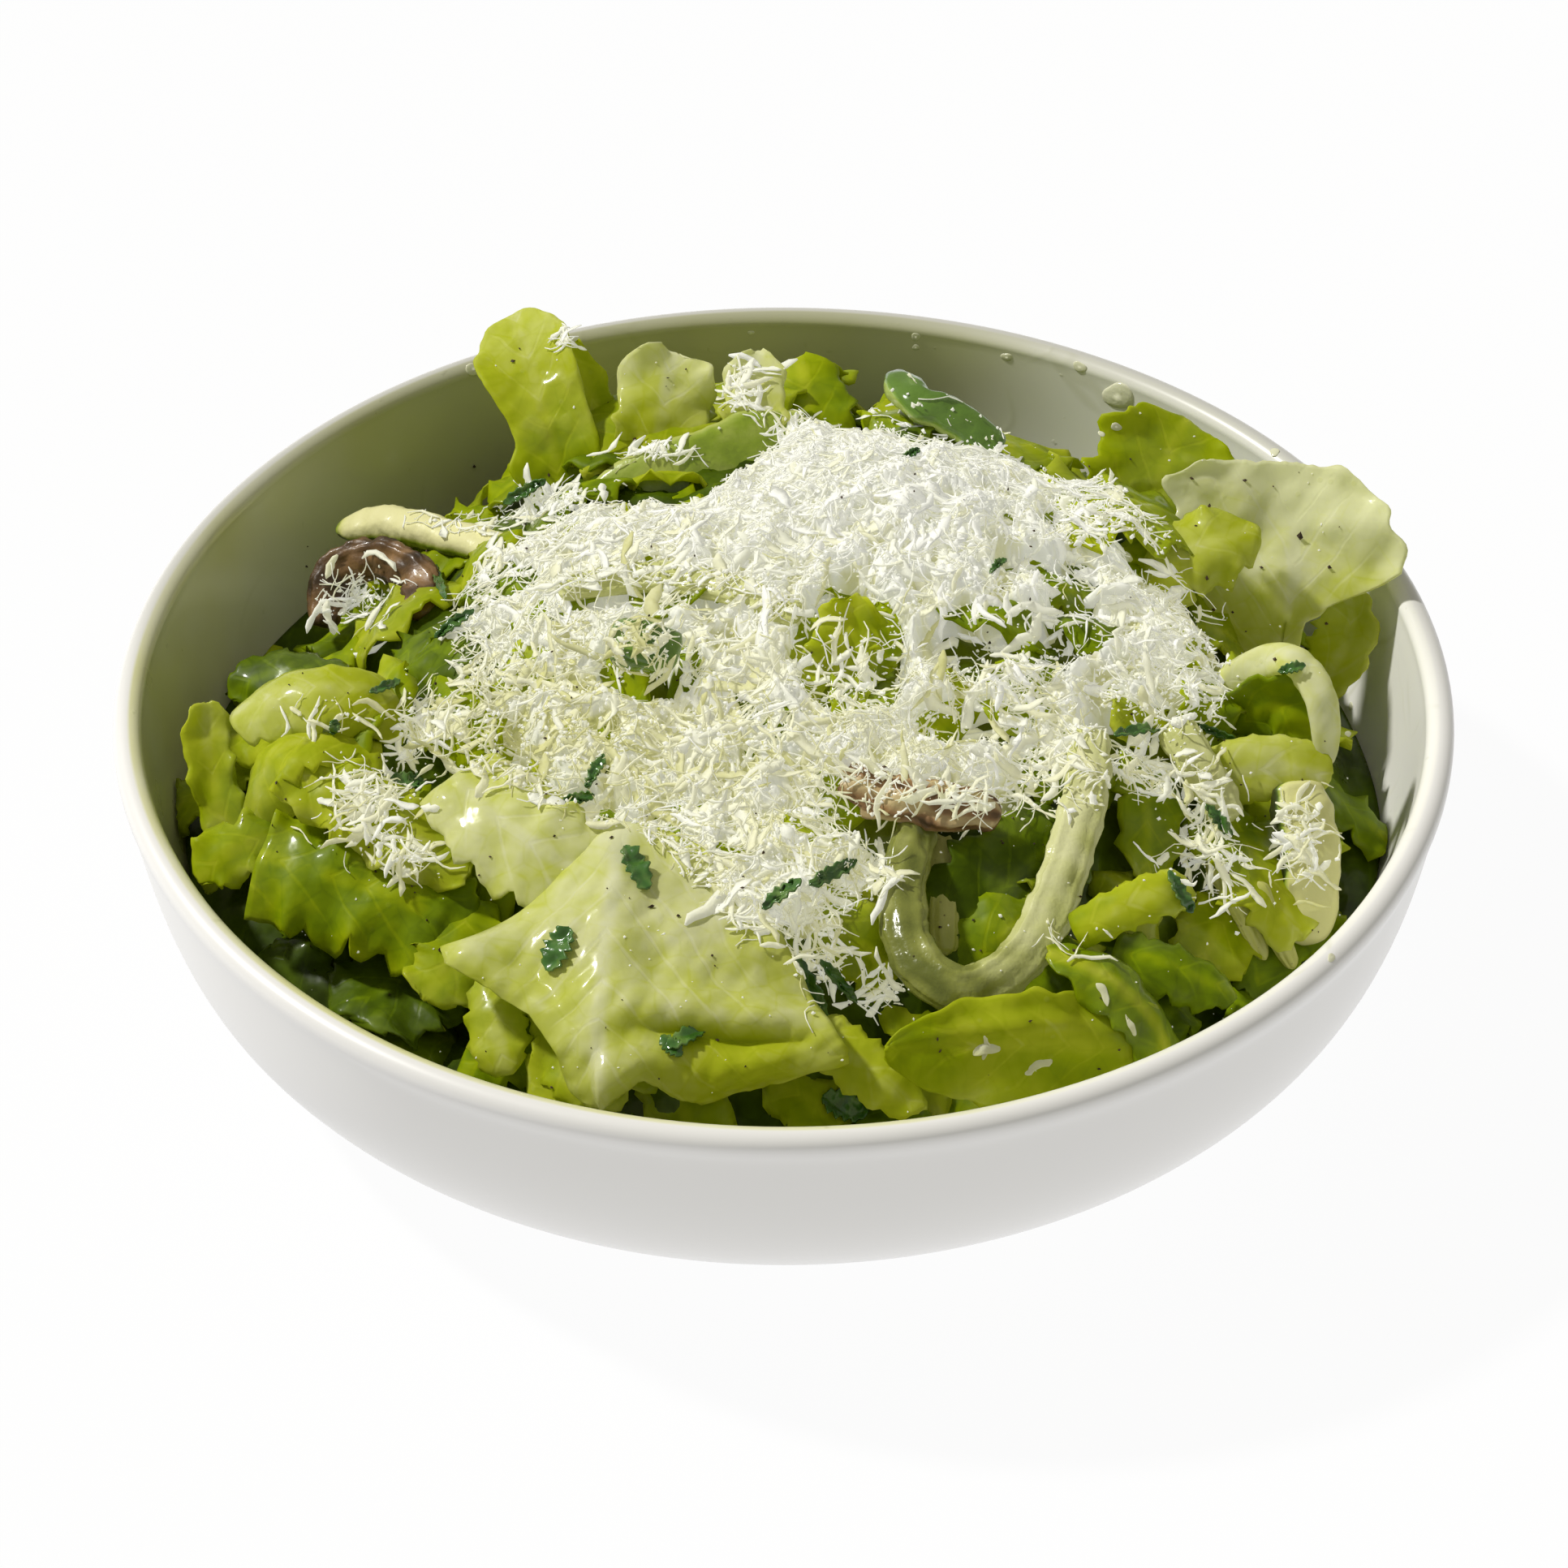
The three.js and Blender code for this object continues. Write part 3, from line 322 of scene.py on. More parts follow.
def makeGlaze():
    # satin white glaze with a thin film of dressing on the inside, and painted shade on the rear
    # of the inner wall and rim
    f = Finish("glazedWhite")
    inside = f.given("inside")
    sideways, depth, height = f.axes(f.place())
    film = f.range(f.grain(45, 3.0), 0.3, 0.7, 0.45, 1.0) * inside
    film = film * f.range(sideways, -0.02, 0.10, 1.0, 0.15)  # less film on the sunlit right side, a painted light; the film is real dressing whose olive is also painted shade on the left
    lip = f.range(height, 0.0545, 0.0562) * f.range(depth, -0.02, 0.05)  # painted shade on the rim's top at the rear
    swirl = f.node("ShaderNodeVectorMath", {"operation": "ADD"}, {0: f.place(), 1: f.node(
        "ShaderNodeVectorMath", {"operation": "SCALE"},
        {0: f.node("ShaderNodeTexNoise", {}, {"Vector": f.place(), "Scale": 30.0}, output="Color"),
         "Scale": 0.03})})
    streak = f.range(f.cells(26, vector=swirl), 0.0, 0.045, 1.0, 0.0)
    streak = streak * f.range(f.grain(30, 2.0), 0.5, 0.62) * inside
    spots = f.range(f.grain(3.2, 2.0), 0.70, 0.78) * inside
    # painted shade on the rear left of the inner wall, in the same colour as the real streaks and
    # spots
    backWallShade = f.range(depth, 0.03, 0.10) * f.range(sideways, 0.01, 0.06, 1.0, 0.0) * inside
    colour = f.mix(film, f.mix(inside, glazeLook["outsideWithPaintedShade"], glazeLook["cleanInsideWithPaintedLight"]),
                   glazeLook["filmedAndShaded"])
    colour = f.mix(backWallShade * glazeLook["backShadeShare"], colour, glazeLook["stainAndShade"])
    marks = streak * glazeLook["streakShare"] + spots * glazeLook["spotShare"]
    colour = f.mix(marks, colour, glazeLook["stainAndShade"])
    # painted shade darkens the rear of the rim
    colour = f.mix(lip * glazeLook["lipShadeShare"], colour, glazeLook["lipShade"])
    roughness = 0.30 + 0.12 * f.grain(16) + 0.1 * streak - 0.08 * film
    relief = 0.3 * f.grain(28, 2.0) + 0.5 * spots + 0.25 * streak
    return f.shine(colour, roughness, f.bump(relief, 0.25, 0.4),
                   {"IOR": 1.5, "Coat Weight": glazeLook["coat"], "Coat Roughness": 0.16})


leafLook = {
    "tones": [
        (0.0, (0.022, 0.040, 0.001)),
        (0.2, (0.070, 0.115, 0.001)),
        (0.36, (0.190, 0.275, 0.001)),
        (0.5, (0.350, 0.430, 0.002)),
        (0.65, (0.530, 0.580, 0.025)),
        (0.78, (0.680, 0.710, 0.150)),
        (0.9, (0.840, 0.840, 0.440)),
        (1.0, (0.910, 0.900, 0.640)),
    ],
    "dressing": (0.76, 0.76, 0.36),
    "through": (0.76, 0.82, 0.03),
    "letThrough": (0.10, 0.42),  # share of light let through, from deep green to cream
    "filmShare": 0.16,
    "smearShare": 0.30,
    "beadShare": 0.25,
    "wet": 0.5,
}


def makeLeafFinish():
    # wet lettuce: tone along the leaf, side veins, a fine net, blisters and a patchy dressing film
    f = Finish("dressedLeaf")
    tone = f.given("tone")
    along, across, edge = f.axes(f.given("spread", "Vector"))
    acrossSize = f.node("ShaderNodeMath", {"operation": "ABSOLUTE"}, {0: across})
    broad, middle, fine = f.grain(17, 2.0), f.grain(5.5, 2.0), f.grain(2.2, 1.0)
    slant = 0.12 * along - 0.15 * acrossSize + 1.3 * broad
    sideVein = f.node("ShaderNodeMath", {"operation": "PINGPONG"}, {0: slant, 1: 0.5})
    sideVein = f.range(sideVein, 0.015, 0.085, 1.0, 0.0) * f.range(edge, 0.45, 0.9, 1.0, 0.1)
    rib = f.range(acrossSize, 0.3, 1.9, 1.0, 0.0)
    net = f.range(f.cells(5.4), 0.0, 0.07, 1.0, 0.0)
    shift = 0.34 * (broad - 0.5) + 0.22 * (middle - 0.5) + 0.10 * (fine - 0.5)
    shift = shift + 0.05 * sideVein - 0.03 * net + 0.08 * rib
    colour = f.ramp(tone + shift, leafLook["tones"])
    film = f.range(f.grain(21, 3.0, roughness=0.6), 0.48, 0.62)
    smear = f.range(middle, 0.54, 0.68) * film
    beads = f.range(f.cells(3.4, "F1"), 0.09, 0.20, 1.0, 0.0) * f.range(broad, 0.42, 0.6)
    pale = f.range(tone, 0.4, 0.9, 0.08, 1.0)
    share = (leafLook["filmShare"] * film + leafLook["smearShare"] * smear
             + leafLook["beadShare"] * beads)
    colour = f.mix(share * pale, colour, leafLook["dressing"])
    roughness = 0.46 + 0.18 * (fine - 0.5) - 0.18 * film
    height = 0.6 * broad + 0.5 * middle + 0.2 * fine - 0.06 * sideVein + 0.14 * smear
    height = height + 0.07 * beads
    return f.shine(colour, roughness, f.bump(height, 0.55, 0.8),
                   {"IOR": 1.38, "Specular IOR Level": 0.16, "Coat Roughness": 0.1,
                    "Coat Weight": leafLook["wet"] * film}, leafLook["through"],
                   f.range(tone, 0.1, 0.7, *leafLook["letThrough"]))


cheeseLook = {
    "tints": [(0.0, (0.16, 0.18, 0.03)), (0.25, (0.52, 0.51, 0.20)), (0.5, (0.71, 0.70, 0.50)),
              (0.8, (0.77, 0.77, 0.68)), (1.0, (0.81, 0.81, 0.78))],
    "through": (0.82, 0.82, 0.74),
    "letThrough": 0.36,
    # painted light: the cheese glows to stand in for light scattered through it
    "glow": 0.43,
}


def makeCheeseFinish():
    f = Finish("gratedCheese")
    fine = f.grain(0.9, 2.0)
    colour = f.ramp(f.given("tint") + 0.2 * (fine - 0.5), cheeseLook["tints"])
    roughness = 0.45 + 0.25 * fine
    # painted light: the cheese glows in its own colour
    return f.shine(colour, roughness, f.bump(fine, 0.35, 0.3),
                   {"IOR": 1.45, "Specular IOR Level": 0.25, "Emission Color": colour,
                    "Emission Strength": cheeseLook["glow"]},
                   cheeseLook["through"], cheeseLook["letThrough"])


def makeFleshFinish(name, stops, roughness, through, share, speckle=0.0, grainSize=4.0, wet=0.3):
    # a cut or skinned topping: its colour runs with the "tint" of each place, from inside to skin
    f = Finish(name)
    uneven = 0.16 * (f.grain(grainSize * 2.5, 3.0) - 0.5) + 0.08 * (f.grain(grainSize / 3) - 0.5)
    colour = f.ramp(f.given("tint") + uneven, stops)
    specks = f.range(f.grain(1.3, 1.0), 0.70, 0.74)
    colour = f.mix(speckle * specks, colour, (0.10, 0.06, 0.02))
    rough = roughness + 0.22 * (f.grain(grainSize) - 0.5)
    height = 0.6 * f.grain(grainSize, 3.0) + 0.25 * f.grain(grainSize / 4, 2.0)
    return f.shine(colour, rough, f.bump(height, 0.45, 0.6),
                   {"IOR": 1.43, "Coat Weight": wet, "Coat Roughness": 0.12}, through, share)


glaze = makeGlaze()
leafFinish = makeLeafFinish()
cheeseFinish = makeCheeseFinish()
avocadoFinish = makeFleshFinish(
    "avocadoFlesh", [(0.0, (0.80, 0.76, 0.42)), (0.45, (0.66, 0.66, 0.22)),
                     (0.75, (0.26, 0.36, 0.02)), (0.9, (0.06, 0.10, 0.01)),
                     (1.0, (0.03, 0.035, 0.01))], 0.34, (0.6, 0.65, 0.1), 0.08)
podFinish = makeFleshFinish(
    "podSkin", [(0.0, (0.60, 0.68, 0.22)), (0.3, (0.20, 0.33, 0.04)), (0.7, (0.05, 0.13, 0.012)),
                (1.0, (0.05, 0.03, 0.01))], 0.22, (0.2, 0.4, 0.03), 0.08, wet=0.6)
anchovyFinish = makeFleshFinish(
    "anchovyFillet", [(0.0, (0.56, 0.44, 0.22)), (0.35, (0.30, 0.17, 0.07)),
                      (0.7, (0.10, 0.052, 0.018)), (1.0, (0.03, 0.018, 0.007))], 0.42,
    (0.5, 0.3, 0.08), 0.08, grainSize=2.4, wet=0.15)
fennelFinish = makeFleshFinish(
    "fennelFlesh", [(0.0, (0.82, 0.82, 0.46)), (0.45, (0.62, 0.64, 0.24)),
                    (0.75, (0.28, 0.30, 0.06)), (1.0, (0.15, 0.17, 0.03))], 0.24,
    (0.8, 0.82, 0.3), 0.24, grainSize=3.0, wet=0.5)
celeryFinish = makeFleshFinish(
    "celeryStick", [(0.0, (0.70, 0.68, 0.24)), (0.6, (0.48, 0.50, 0.09)),
                    (1.0, (0.30, 0.30, 0.04))], 0.32, (0.6, 0.6, 0.1), 0.2, speckle=0.4)
herbFinish = makeFleshFinish(
    "choppedHerb", [(0.0, (0.02, 0.07, 0.006)), (0.5, (0.05, 0.15, 0.02)),
                    (1.0, (0.16, 0.27, 0.06))], 0.26, (0.1, 0.3, 0.02), 0.1, wet=0.6)
pepperFinish = makeFleshFinish(
    "crackedPepper", [(0.0, (0.02, 0.012, 0.006)), (0.6, (0.08, 0.045, 0.02)),
                      (1.0, (0.30, 0.20, 0.10))], 0.6, (0.1, 0.05, 0.02), 0.0, wet=0.0)
dressingFinish = makeFleshFinish(
    "creamyDressing", [(0.0, (0.70, 0.71, 0.34)), (1.0, (0.86, 0.86, 0.66))], 0.2,
    (0.85, 0.83, 0.55), 0.2, wet=0.6)
print("finishes made")


# the bowl

bowlSize = {
    "rimRadius": 120,
    "height": 56,
    "wall": 4.8,
    "footRadius": 62,
    "footStep": 2.3,
    "rimPull": (114.7, 25.5),
    "heelPull": (117, 3.8),
    "lipBulge": 0.5,
    "lipDrop": 4,
    "lipDepth": 2.2,
    "footLine": [(0.01, 1.2), (50, 1.2), (52, 0.9), (54, 0.15), (55.5, 0), (59, 0), (61.2, 0.35),
                 (61.9, 1.2)],
    "uneven": 0.12,
    "turns": 220,
}


def wallLine(t, depth):
    # the outer wall's curve from the rim to the foot, moved inwards by depth
    stops = np.array([(bowlSize["rimRadius"], bowlSize["height"]), bowlSize["rimPull"],
                      bowlSize["heelPull"], (bowlSize["footRadius"], bowlSize["footStep"])])
    t = np.atleast_1d(t)[:, None]
    s = 1 - t
    p0, p1, p2, p3 = stops
    point = s ** 3 * p0 + 3 * s ** 2 * t * p1 + 3 * s * t ** 2 * p2 + t ** 3 * p3
    run = unit(3 * s ** 2 * (p1 - p0) + 6 * s * t * (p2 - p1) + 3 * t ** 2 * (p3 - p2))
    return point + np.stack([run[:, 1], -run[:, 0]], -1) * depth


innerWall = wallLine(np.linspace(0, 1, 41), bowlSize["wall"])


def innerRadiusAt(z):
    return np.interp(z, innerWall[::-1, 1], innerWall[::-1, 0])


def floorAt(r):
    height = np.interp(r, innerWall[::-1, 0], innerWall[::-1, 1])
    return np.where(r >= innerWall[0, 0], bowlSize["height"], height)


def keepInBowl(points, clear):
    # keeps points inside the wall, or lifts them over the rim where that is nearer
    reach = np.hypot(points[..., 0], points[..., 1])
    top = bowlSize["height"]
    lift = top + clear - points[..., 2]
    over = reach - (innerRadiusAt(np.minimum(points[..., 2], top)) - clear)
    hits = (over > 0) & (lift > 0)
    up = hits & (lift < over)
    inside = np.where(hits & ~up, (reach - over) / np.maximum(reach, 1e-6), 1.0)
    moved = points.copy()
    moved[..., :2] *= inside[..., None]
    moved[..., 2] += np.where(up, lift, 0)
    low = floorAt(np.hypot(moved[..., 0], moved[..., 1])) + clear
    moved[..., 2] = np.maximum(moved[..., 2], low)
    return moved


def makeBowl():
    # the foot ring, the outer wall, the soft lip, the inner wall and the floor, spun round
    wall, height, lip = bowlSize["wall"], bowlSize["height"], bowlSize["lipDepth"]
    outer = wallLine(np.linspace(1, 0, 61), 0)
    drop = (height - outer[:, 1]) / bowlSize["lipDrop"]
    outer[:, 0] += bowlSize["lipBulge"] * np.exp(-((drop - 0.4) ** 2) * 3)
    inner = wallLine(np.linspace(0, 1, 61), wall)
    outer = outer[outer[:, 1] < height - lip]
    inner = inner[inner[:, 1] < height - lip]
    angle = np.linspace(0, math.pi, 15)
    middle = (outer[-1] + inner[0]) / 2
    half = (outer[-1, 0] - inner[0, 0]) / 2
    rim = np.stack([middle[0] + np.cos(angle) * half, height - lip + np.sin(angle) * lip], -1)
    foot = np.array(bowlSize["footLine"])
    floor = np.stack([np.linspace(inner[-1, 0], 0.01, 14)[1:], np.full(13, inner[-1, 1])], -1)
    profile = np.concatenate([foot, outer, rim, inner, floor])
    insideStart = len(foot) + len(outer) + 8
    angles = np.arange(bowlSize["turns"]) * turn / bowlSize["turns"]
    rings = np.stack([profile[:, None, 0] * np.cos(angles), profile[:, None, 0] * np.sin(angles),
                      np.broadcast_to(profile[:, None, 1], (len(profile), len(angles)))], -1)
    # a hand-finished wall is never quite round
    uneven = bowlSize["uneven"] * wobble(rings, 60, 5, 1) * rise(rings[..., 2], 4, 30)
    rings[..., :2] *= 1 + (uneven / bowlSize["rimRadius"])[..., None]
    points, faces = tubeMesh(rings)
    inside = np.repeat(np.arange(len(profile)) >= insideStart, len(angles)).astype(float)
    addPiece("bowl", points, faces, glaze, ["bowl"], {"inside": inside})


makeBowl()
print("bowl made")


# the heap under the leaves

heapSize = {
    "centre": (6, 12),
    "radius": 98,
    "edgeHeight": 30,
    "rise": 46,
    "shoulders": [((-78, -28), (21, 22), 25), ((-20, -76), (30, 16), 24),
                  ((50, -72), (22, 14), 13), ((90, -8), (14, 16), 6)],
    "sink": 3.5,
    "cuts": (220, 90),
}


def hump(x, y, centre, reach, height):
    return height * np.exp(-((x - centre[0]) / reach[0]) ** 2 - ((y - centre[1]) / reach[1]) ** 2)


def heapTop(x, y):
    (cx, cy), radius = heapSize["centre"], heapSize["radius"]
    r = np.hypot(x - cx, y - cy) / radius
    top = heapSize["edgeHeight"] + heapSize["rise"] * np.maximum(1 - r ** 2.6, 0) ** 0.9
    return top + sum(hump(x, y, *shoulder) for shoulder in heapSize["shoulders"])


def moundMesh(centre, edge, topAt, bottomAt, cuts):
    # a closed mound from a centre out to an uneven edge
    turns, rings = cuts
    angles = np.arange(turns) * turn / turns

    def layer(shares, heightAt):
        reach = shares[:, None] * edge(angles)
        x, y = centre[0] + reach * np.cos(angles), centre[1] + reach * np.sin(angles)
        return np.stack([x, y, heightAt(x, y)], -1)

    top = layer(np.linspace(0.004, 1, rings + 1), topAt)
    low = layer(np.linspace(1, 0.004, 8), bottomAt)
    top[-1, :, 2] = np.maximum(top[-1, :, 2], low[0, :, 2] + 0.4)
    return tubeMesh(np.concatenate([top, low]))


def makeHeapCore():
    # a crumpled mass of leaves that shows only down the gaps, coloured a near-black green that is
    # painted shade
    edge = innerRadiusAt(heapSize["edgeHeight"]) - 1.2

    def top(x, y):
        place = np.stack([x, y, np.zeros_like(x)], -1)
        folds = 1.7 * wobble(place, 21, 31, 4) - 1.5 * np.abs(wobble(place, 12, 32, 3))
        clear = rise(np.hypot(x, y), edge - 3, edge - 12)
        sink = heapSize["sink"] * (1 - hump(x, y, (0, 0), (60, 60), 0.3))
        return heapTop(x, y) - sink + folds * clear

    def bottom(x, y):
        return np.minimum(floorAt(np.hypot(x, y)) + 0.8, heapSize["edgeHeight"] - 6)

    points, faces = moundMesh((0, 0), lambda a: edge + 0 * a, top, bottom, heapSize["cuts"])
    points = keepInBowl(points, 0.5)
    # painted shade: a very dark tone for the gaps
    tone = 0.13 + 0.08 * wobble(points, 16, 33, 2)
    spread = np.stack([points[:, 0], 9 + points[:, 1] * 0, 0.3 + points[:, 0] * 0], -1)
    addLeaf("heapCore", points, faces, {"tone": tone, "spread": spread})


makeHeapCore()
print("heap core made")


# the leaves

leafBasics = dict(left=10, right=10, face=(0, -0.5, 0.8), root=0.9, belly=0.5, blunt=2.5, cup=40,
                  twist=0, ruffle=1.5, waves=3, buckle=1.2, lobe=0.1, thick=1.1, tone=(0.5, 0.5),
                  edgeTone=0, rib=0, frill=0.35, ridge=0, leftShape=None, rightShape=None,
                  hem=None, folds=())

# A leaf runs from base over mid to tip. left and right are its half widths, face is the way that
# its upper side looks and cup is how far it curls across in degrees. tone runs from deep green at
# 0 to cream at 1, at its base and its tip; edgeTone is added towards its edges and rib along its
# middle. frill is how torn and fine its edge is, and ridge how steeply it falls from a fold along
# its spine. root, belly and blunt give the outline, unless leftShape and rightShape give a side's
# width at stops along the leaf, and hem gives its length at stops across it. ruffle and waves are
# for its edge, buckle and lobe for how uneven it is. folds are rises: place along and across,
# reach both ways, height and tone, the tone partly the leaf's own colour and partly painted light:
# a painted highlight on a crest and painted shade in a dip.
leafPieces = {
    # the tongue's dark base is painted shade, low down at the leaf's base
    "tongue": dict(base=(-40, 46, 54), mid=(-45, 61, 71), tip=(-51, 83, 78), right=9,
        face=(0.1, -1, 0.3), cup=60, ruffle=0.5, waves=1.3, buckle=1, lobe=0.03, tone=(0.36, 0.74),
        edgeTone=0.05, frill=0.2, leftShape=[(0, 0.8), (0.2, 0.72), (0.3, 0.86), (0.38, 0.66),
        (0.5, 0.72), (0.66, 0.96), (0.8, 1.0), (0.9, 0.84), (0.96, 0.6), (1, 0.25)],
        rightShape=[(0, 0.9), (0.2, 0.96), (0.34, 1.0), (0.5, 1.0), (0.66, 1.0), (0.8, 0.98),
        (0.9, 0.8), (0.96, 0.56), (1, 0.25)]),
    "tongueFlap": dict(base=(-41, 75, 76), mid=(-35, 65, 66), tip=(-35, 53, 56), left=5, right=6,
        face=(0.3, -1, 0.3), root=0.5, belly=0.55, blunt=2.2, cup=60, twist=20, ruffle=0.8,
        waves=2, tone=(0.55, 0.48), edgeTone=0.05),
    "curtain": dict(base=(-25, 48, 58), mid=(-23, 57, 70), tip=(-21, 70, 79), left=9, right=9,
        face=(0, -1, 0.25), belly=0.6, blunt=5, cup=20, ruffle=1.8, waves=2, lobe=0.06,
        tone=(0.54, 0.86), edgeTone=0.05),
    "veil": dict(base=(-8, 50, 62), mid=(-6, 57, 72), tip=(-5, 69, 79), left=6, right=6,
        face=(0, -1, 0.4), blunt=4, cup=25, ruffle=1, waves=2, tone=(0.7, 0.92)),
    "backGreen": dict(base=(7, 58, 56), mid=(5, 65, 66), tip=(3, 78, 72), left=8, right=9,
        face=(0, -1, 0.3), cup=-50, ruffle=0.8, waves=2, tone=(0.42, 0.47)),
    "rightBackGreen": dict(base=(66, 44, 50), mid=(70, 54, 60), tip=(76, 67, 66), left=14,
        right=14, face=(0, -0.8, 0.7), root=0.8, blunt=2.2, waves=2.5, tone=(0.50, 0.55),
        frill=0.3),
    "bigRight": dict(base=(89, 8, 48), mid=(93, 26, 56), tip=(95, 44, 72), left=26, right=21,
        face=(-0.1, -0.75, 0.65), cup=60, ruffle=1.3, waves=2.2, lobe=0.05, tone=(0.60, 1.04),
        edgeTone=0.10, folds=[(0.55, -0.1, 0.12, 0.5, 1.6, 0.08),
        (0.78, 0.45, 0.10, 0.3, 1.8, 0.06), (0.3, -0.3, 0.16, 0.4, -1.2, -0.06),
        (0.86, -0.5, 0.1, 0.2, 1.5, -0.1)], leftShape=[(0, 0.45), (0.15, 0.66), (0.3, 0.8),
        (0.5, 0.9), (0.75, 0.95), (0.9, 0.95), (1, 0.7)], rightShape=[(0, 0.2), (0.2, 0.14),
        (0.35, 0.15), (0.46, 0.34), (0.6, 0.97), (0.72, 0.93), (0.85, 0.8), (1, 0.35)]),
    "rightPetal": dict(base=(99, 21, 38), mid=(104, 25, 45), tip=(105, 32.5, 52), left=7, right=6,
        face=(-0.6, -0.7, 0.5), root=0.7, blunt=3, cup=30, ruffle=0.5, waves=2, tone=(0.62, 0.84)),
    "yellowFlap": dict(base=(63.4, 24, 57), mid=(72.4, 20.5, 69), tip=(87, 27.5, 70), left=9,
        right=8, face=(0, -0.4, 0.9), root=0.8, blunt=3, cup=-70, tone=(0.66, 0.66),
        edgeTone=0.04),
    "ribLoop": dict(base=(79, -2, 56), mid=(91, -11, 68), tip=(96, -23, 55), left=3.2, right=3.2,
        face=(0.1, -0.45, 0.9), blunt=9, cup=-40, twist=-55, ruffle=0.2, buckle=0.2, lobe=0.02,
        thick=2.2, tone=(0.86, 0.93), frill=0.1),
    "ribInner": dict(base=(80, -11, 52), mid=(87, -10, 58), tip=(95, -13, 54), left=7, right=6,
        face=(0, -1, 0.4), blunt=4, cup=60, ruffle=0.4, tone=(0.30, 0.42)),
    "paleRib": dict(base=(76, -24, 52), mid=(85, -25, 56), tip=(96, -26, 54), left=6, right=6,
        face=(0.1, -0.8, 0.7), root=1, belly=0.6, blunt=4, cup=-60, ruffle=0.3, buckle=0.5,
        lobe=0.04, thick=1.8, tone=(0.72, 0.70), frill=0.1),
    "frontGreen": dict(base=(62, -86, 44), mid=(42, -91, 51), tip=(16, -96, 54), left=11.5,
        right=9, face=(0, -0.8, 0.6), blunt=1.6, cup=-35, ruffle=1.3, waves=2.5, lobe=0.05,
        tone=(0.51, 0.49), edgeTone=0.08, frill=0.2, folds=[(0.5, 0.35, 0.35, 0.22, 1.7, 0.10),
        (0.4, -0.3, 0.14, 0.3, -1.3, -0.05), (0.72, -0.5, 0.12, 0.3, 1.1, 0.07)]),
    "frontArch": dict(base=(65, -86, 40), mid=(58, -82, 54), tip=(44, -76, 58), left=6, right=7,
        face=(0.6, -0.3, 0.7), cup=-70, ruffle=0.9, waves=2, tone=(0.36, 0.38), rib=0.2),
    "frontOuter": dict(base=(56, -66, 50), mid=(67, -68, 47), tip=(77, -67, 40), left=6, right=6,
        face=(0.2, -0.3, 0.9), blunt=1.8, cup=-60, ruffle=0.6, tone=(0.30, 0.32)),
    "brightTip": dict(base=(49, -71, 58), mid=(59, -70, 64), tip=(69, -66, 64), left=4.5,
        right=4.5, face=(0, -0.6, 0.8), root=0.8, belly=0.6, blunt=5, cup=-90, ruffle=0.4,
        tone=(0.50, 0.62), frill=0.2),
    "underArch": dict(base=(39, -76, 42), mid=(44, -73, 50), tip=(51, -69, 52), left=6, right=6,
        belly=0.55, blunt=2.2, cup=-60, ruffle=0.4, tone=(0.26, 0.30)),
    "hero": dict(base=(-27, -54, 68), mid=(-30, -85, 62), tip=(-30, -101, 47), left=41, right=28,
        face=(-0.05, -0.75, 0.65), cup=-10, ruffle=1.8, waves=1.4, buckle=1.3, lobe=0.0, thick=1.2,
        tone=(0.92, 0.76), edgeTone=-0.08, rib=0.04, frill=0.25, ridge=0.55, hem=[(-1, 0.99),
        (-0.8, 1.03), (-0.55, 1.05), (-0.3, 0.97), (-0.16, 0.92), (0, 1.02), (0.25, 1.01), (1, 1)],
        folds=[(0.62, -0.55, 0.07, 0.38, 2.2, 0.05), (0.74, -0.5, 0.05, 0.45, -1.8, -0.22),
        (0.88, -0.52, 0.09, 0.30, 2.6, -0.16), (0.40, 0.85, 0.10, 0.22, 2.6, 0.08),
        (0.92, 0.0, 0.10, 0.12, 2.4, 0.02), (0.45, -0.25, 0.16, 0.12, -1.0, -0.04),
        (0.5, 0.45, 0.14, 0.18, -1.2, -0.06)], leftShape=[(0, 0.14), (0.05, 0.32), (0.12, 0.48),
        (0.25, 0.66), (0.42, 0.80), (0.6, 0.91), (0.8, 1.0), (0.92, 1.0), (1, 0.72)],
        rightShape=[(0, 0.10), (0.16, 0.40), (0.33, 0.86), (0.38, 1.0), (0.45, 0.97), (0.54, 0.70),
        (0.66, 0.44), (0.82, 0.26), (0.95, 0.2), (1, 0.1)]),
    "underHero": dict(base=(-45, -70, 50), mid=(-48, -81, 48), tip=(-46, -89, 42), left=5, right=6,
        face=(-0.2, -0.8, 0.6), blunt=3, cup=-50, ruffle=0.5, tone=(0.64, 0.62)),
    "underHeroTip": dict(base=(-39, -79, 50), mid=(-37, -88, 46), tip=(-33, -96, 42), left=5,
        right=5, face=(-0.2, -0.9, 0.4), cup=20, ruffle=0.6, tone=(0.58, 0.60)),
    "leftDome": dict(base=(-66, -20, 66), mid=(-81, -23, 72), tip=(-97, -18, 62), left=9, right=8,
        face=(0, -0.3, 1), blunt=3, cup=-110, ruffle=0.5, buckle=0.8, tone=(0.62, 0.72),
        frill=0.2),
    "leftLoop": dict(base=(-70, -30, 64), mid=(-87, -33, 66), tip=(-90, -39, 52), left=8, right=8,
        face=(-0.3, 0.1, 1), belly=0.6, blunt=4, cup=-60, ruffle=0.5, buckle=0.6,
        tone=(0.55, 0.64), edgeTone=0.06, frill=0.2),
    "leftUpright": dict(base=(-97, -32, 46), mid=(-101, -22, 54), tip=(-102, -13, 62), left=4.5,
        right=4.5, face=(0.2, -1, 0.2), blunt=3, cup=60, ruffle=0.8, waves=2, tone=(0.50, 0.66)),
    "leftDiagonal": dict(base=(-86, -37, 66), mid=(-70, -46, 62), tip=(-54, -55, 56), left=8,
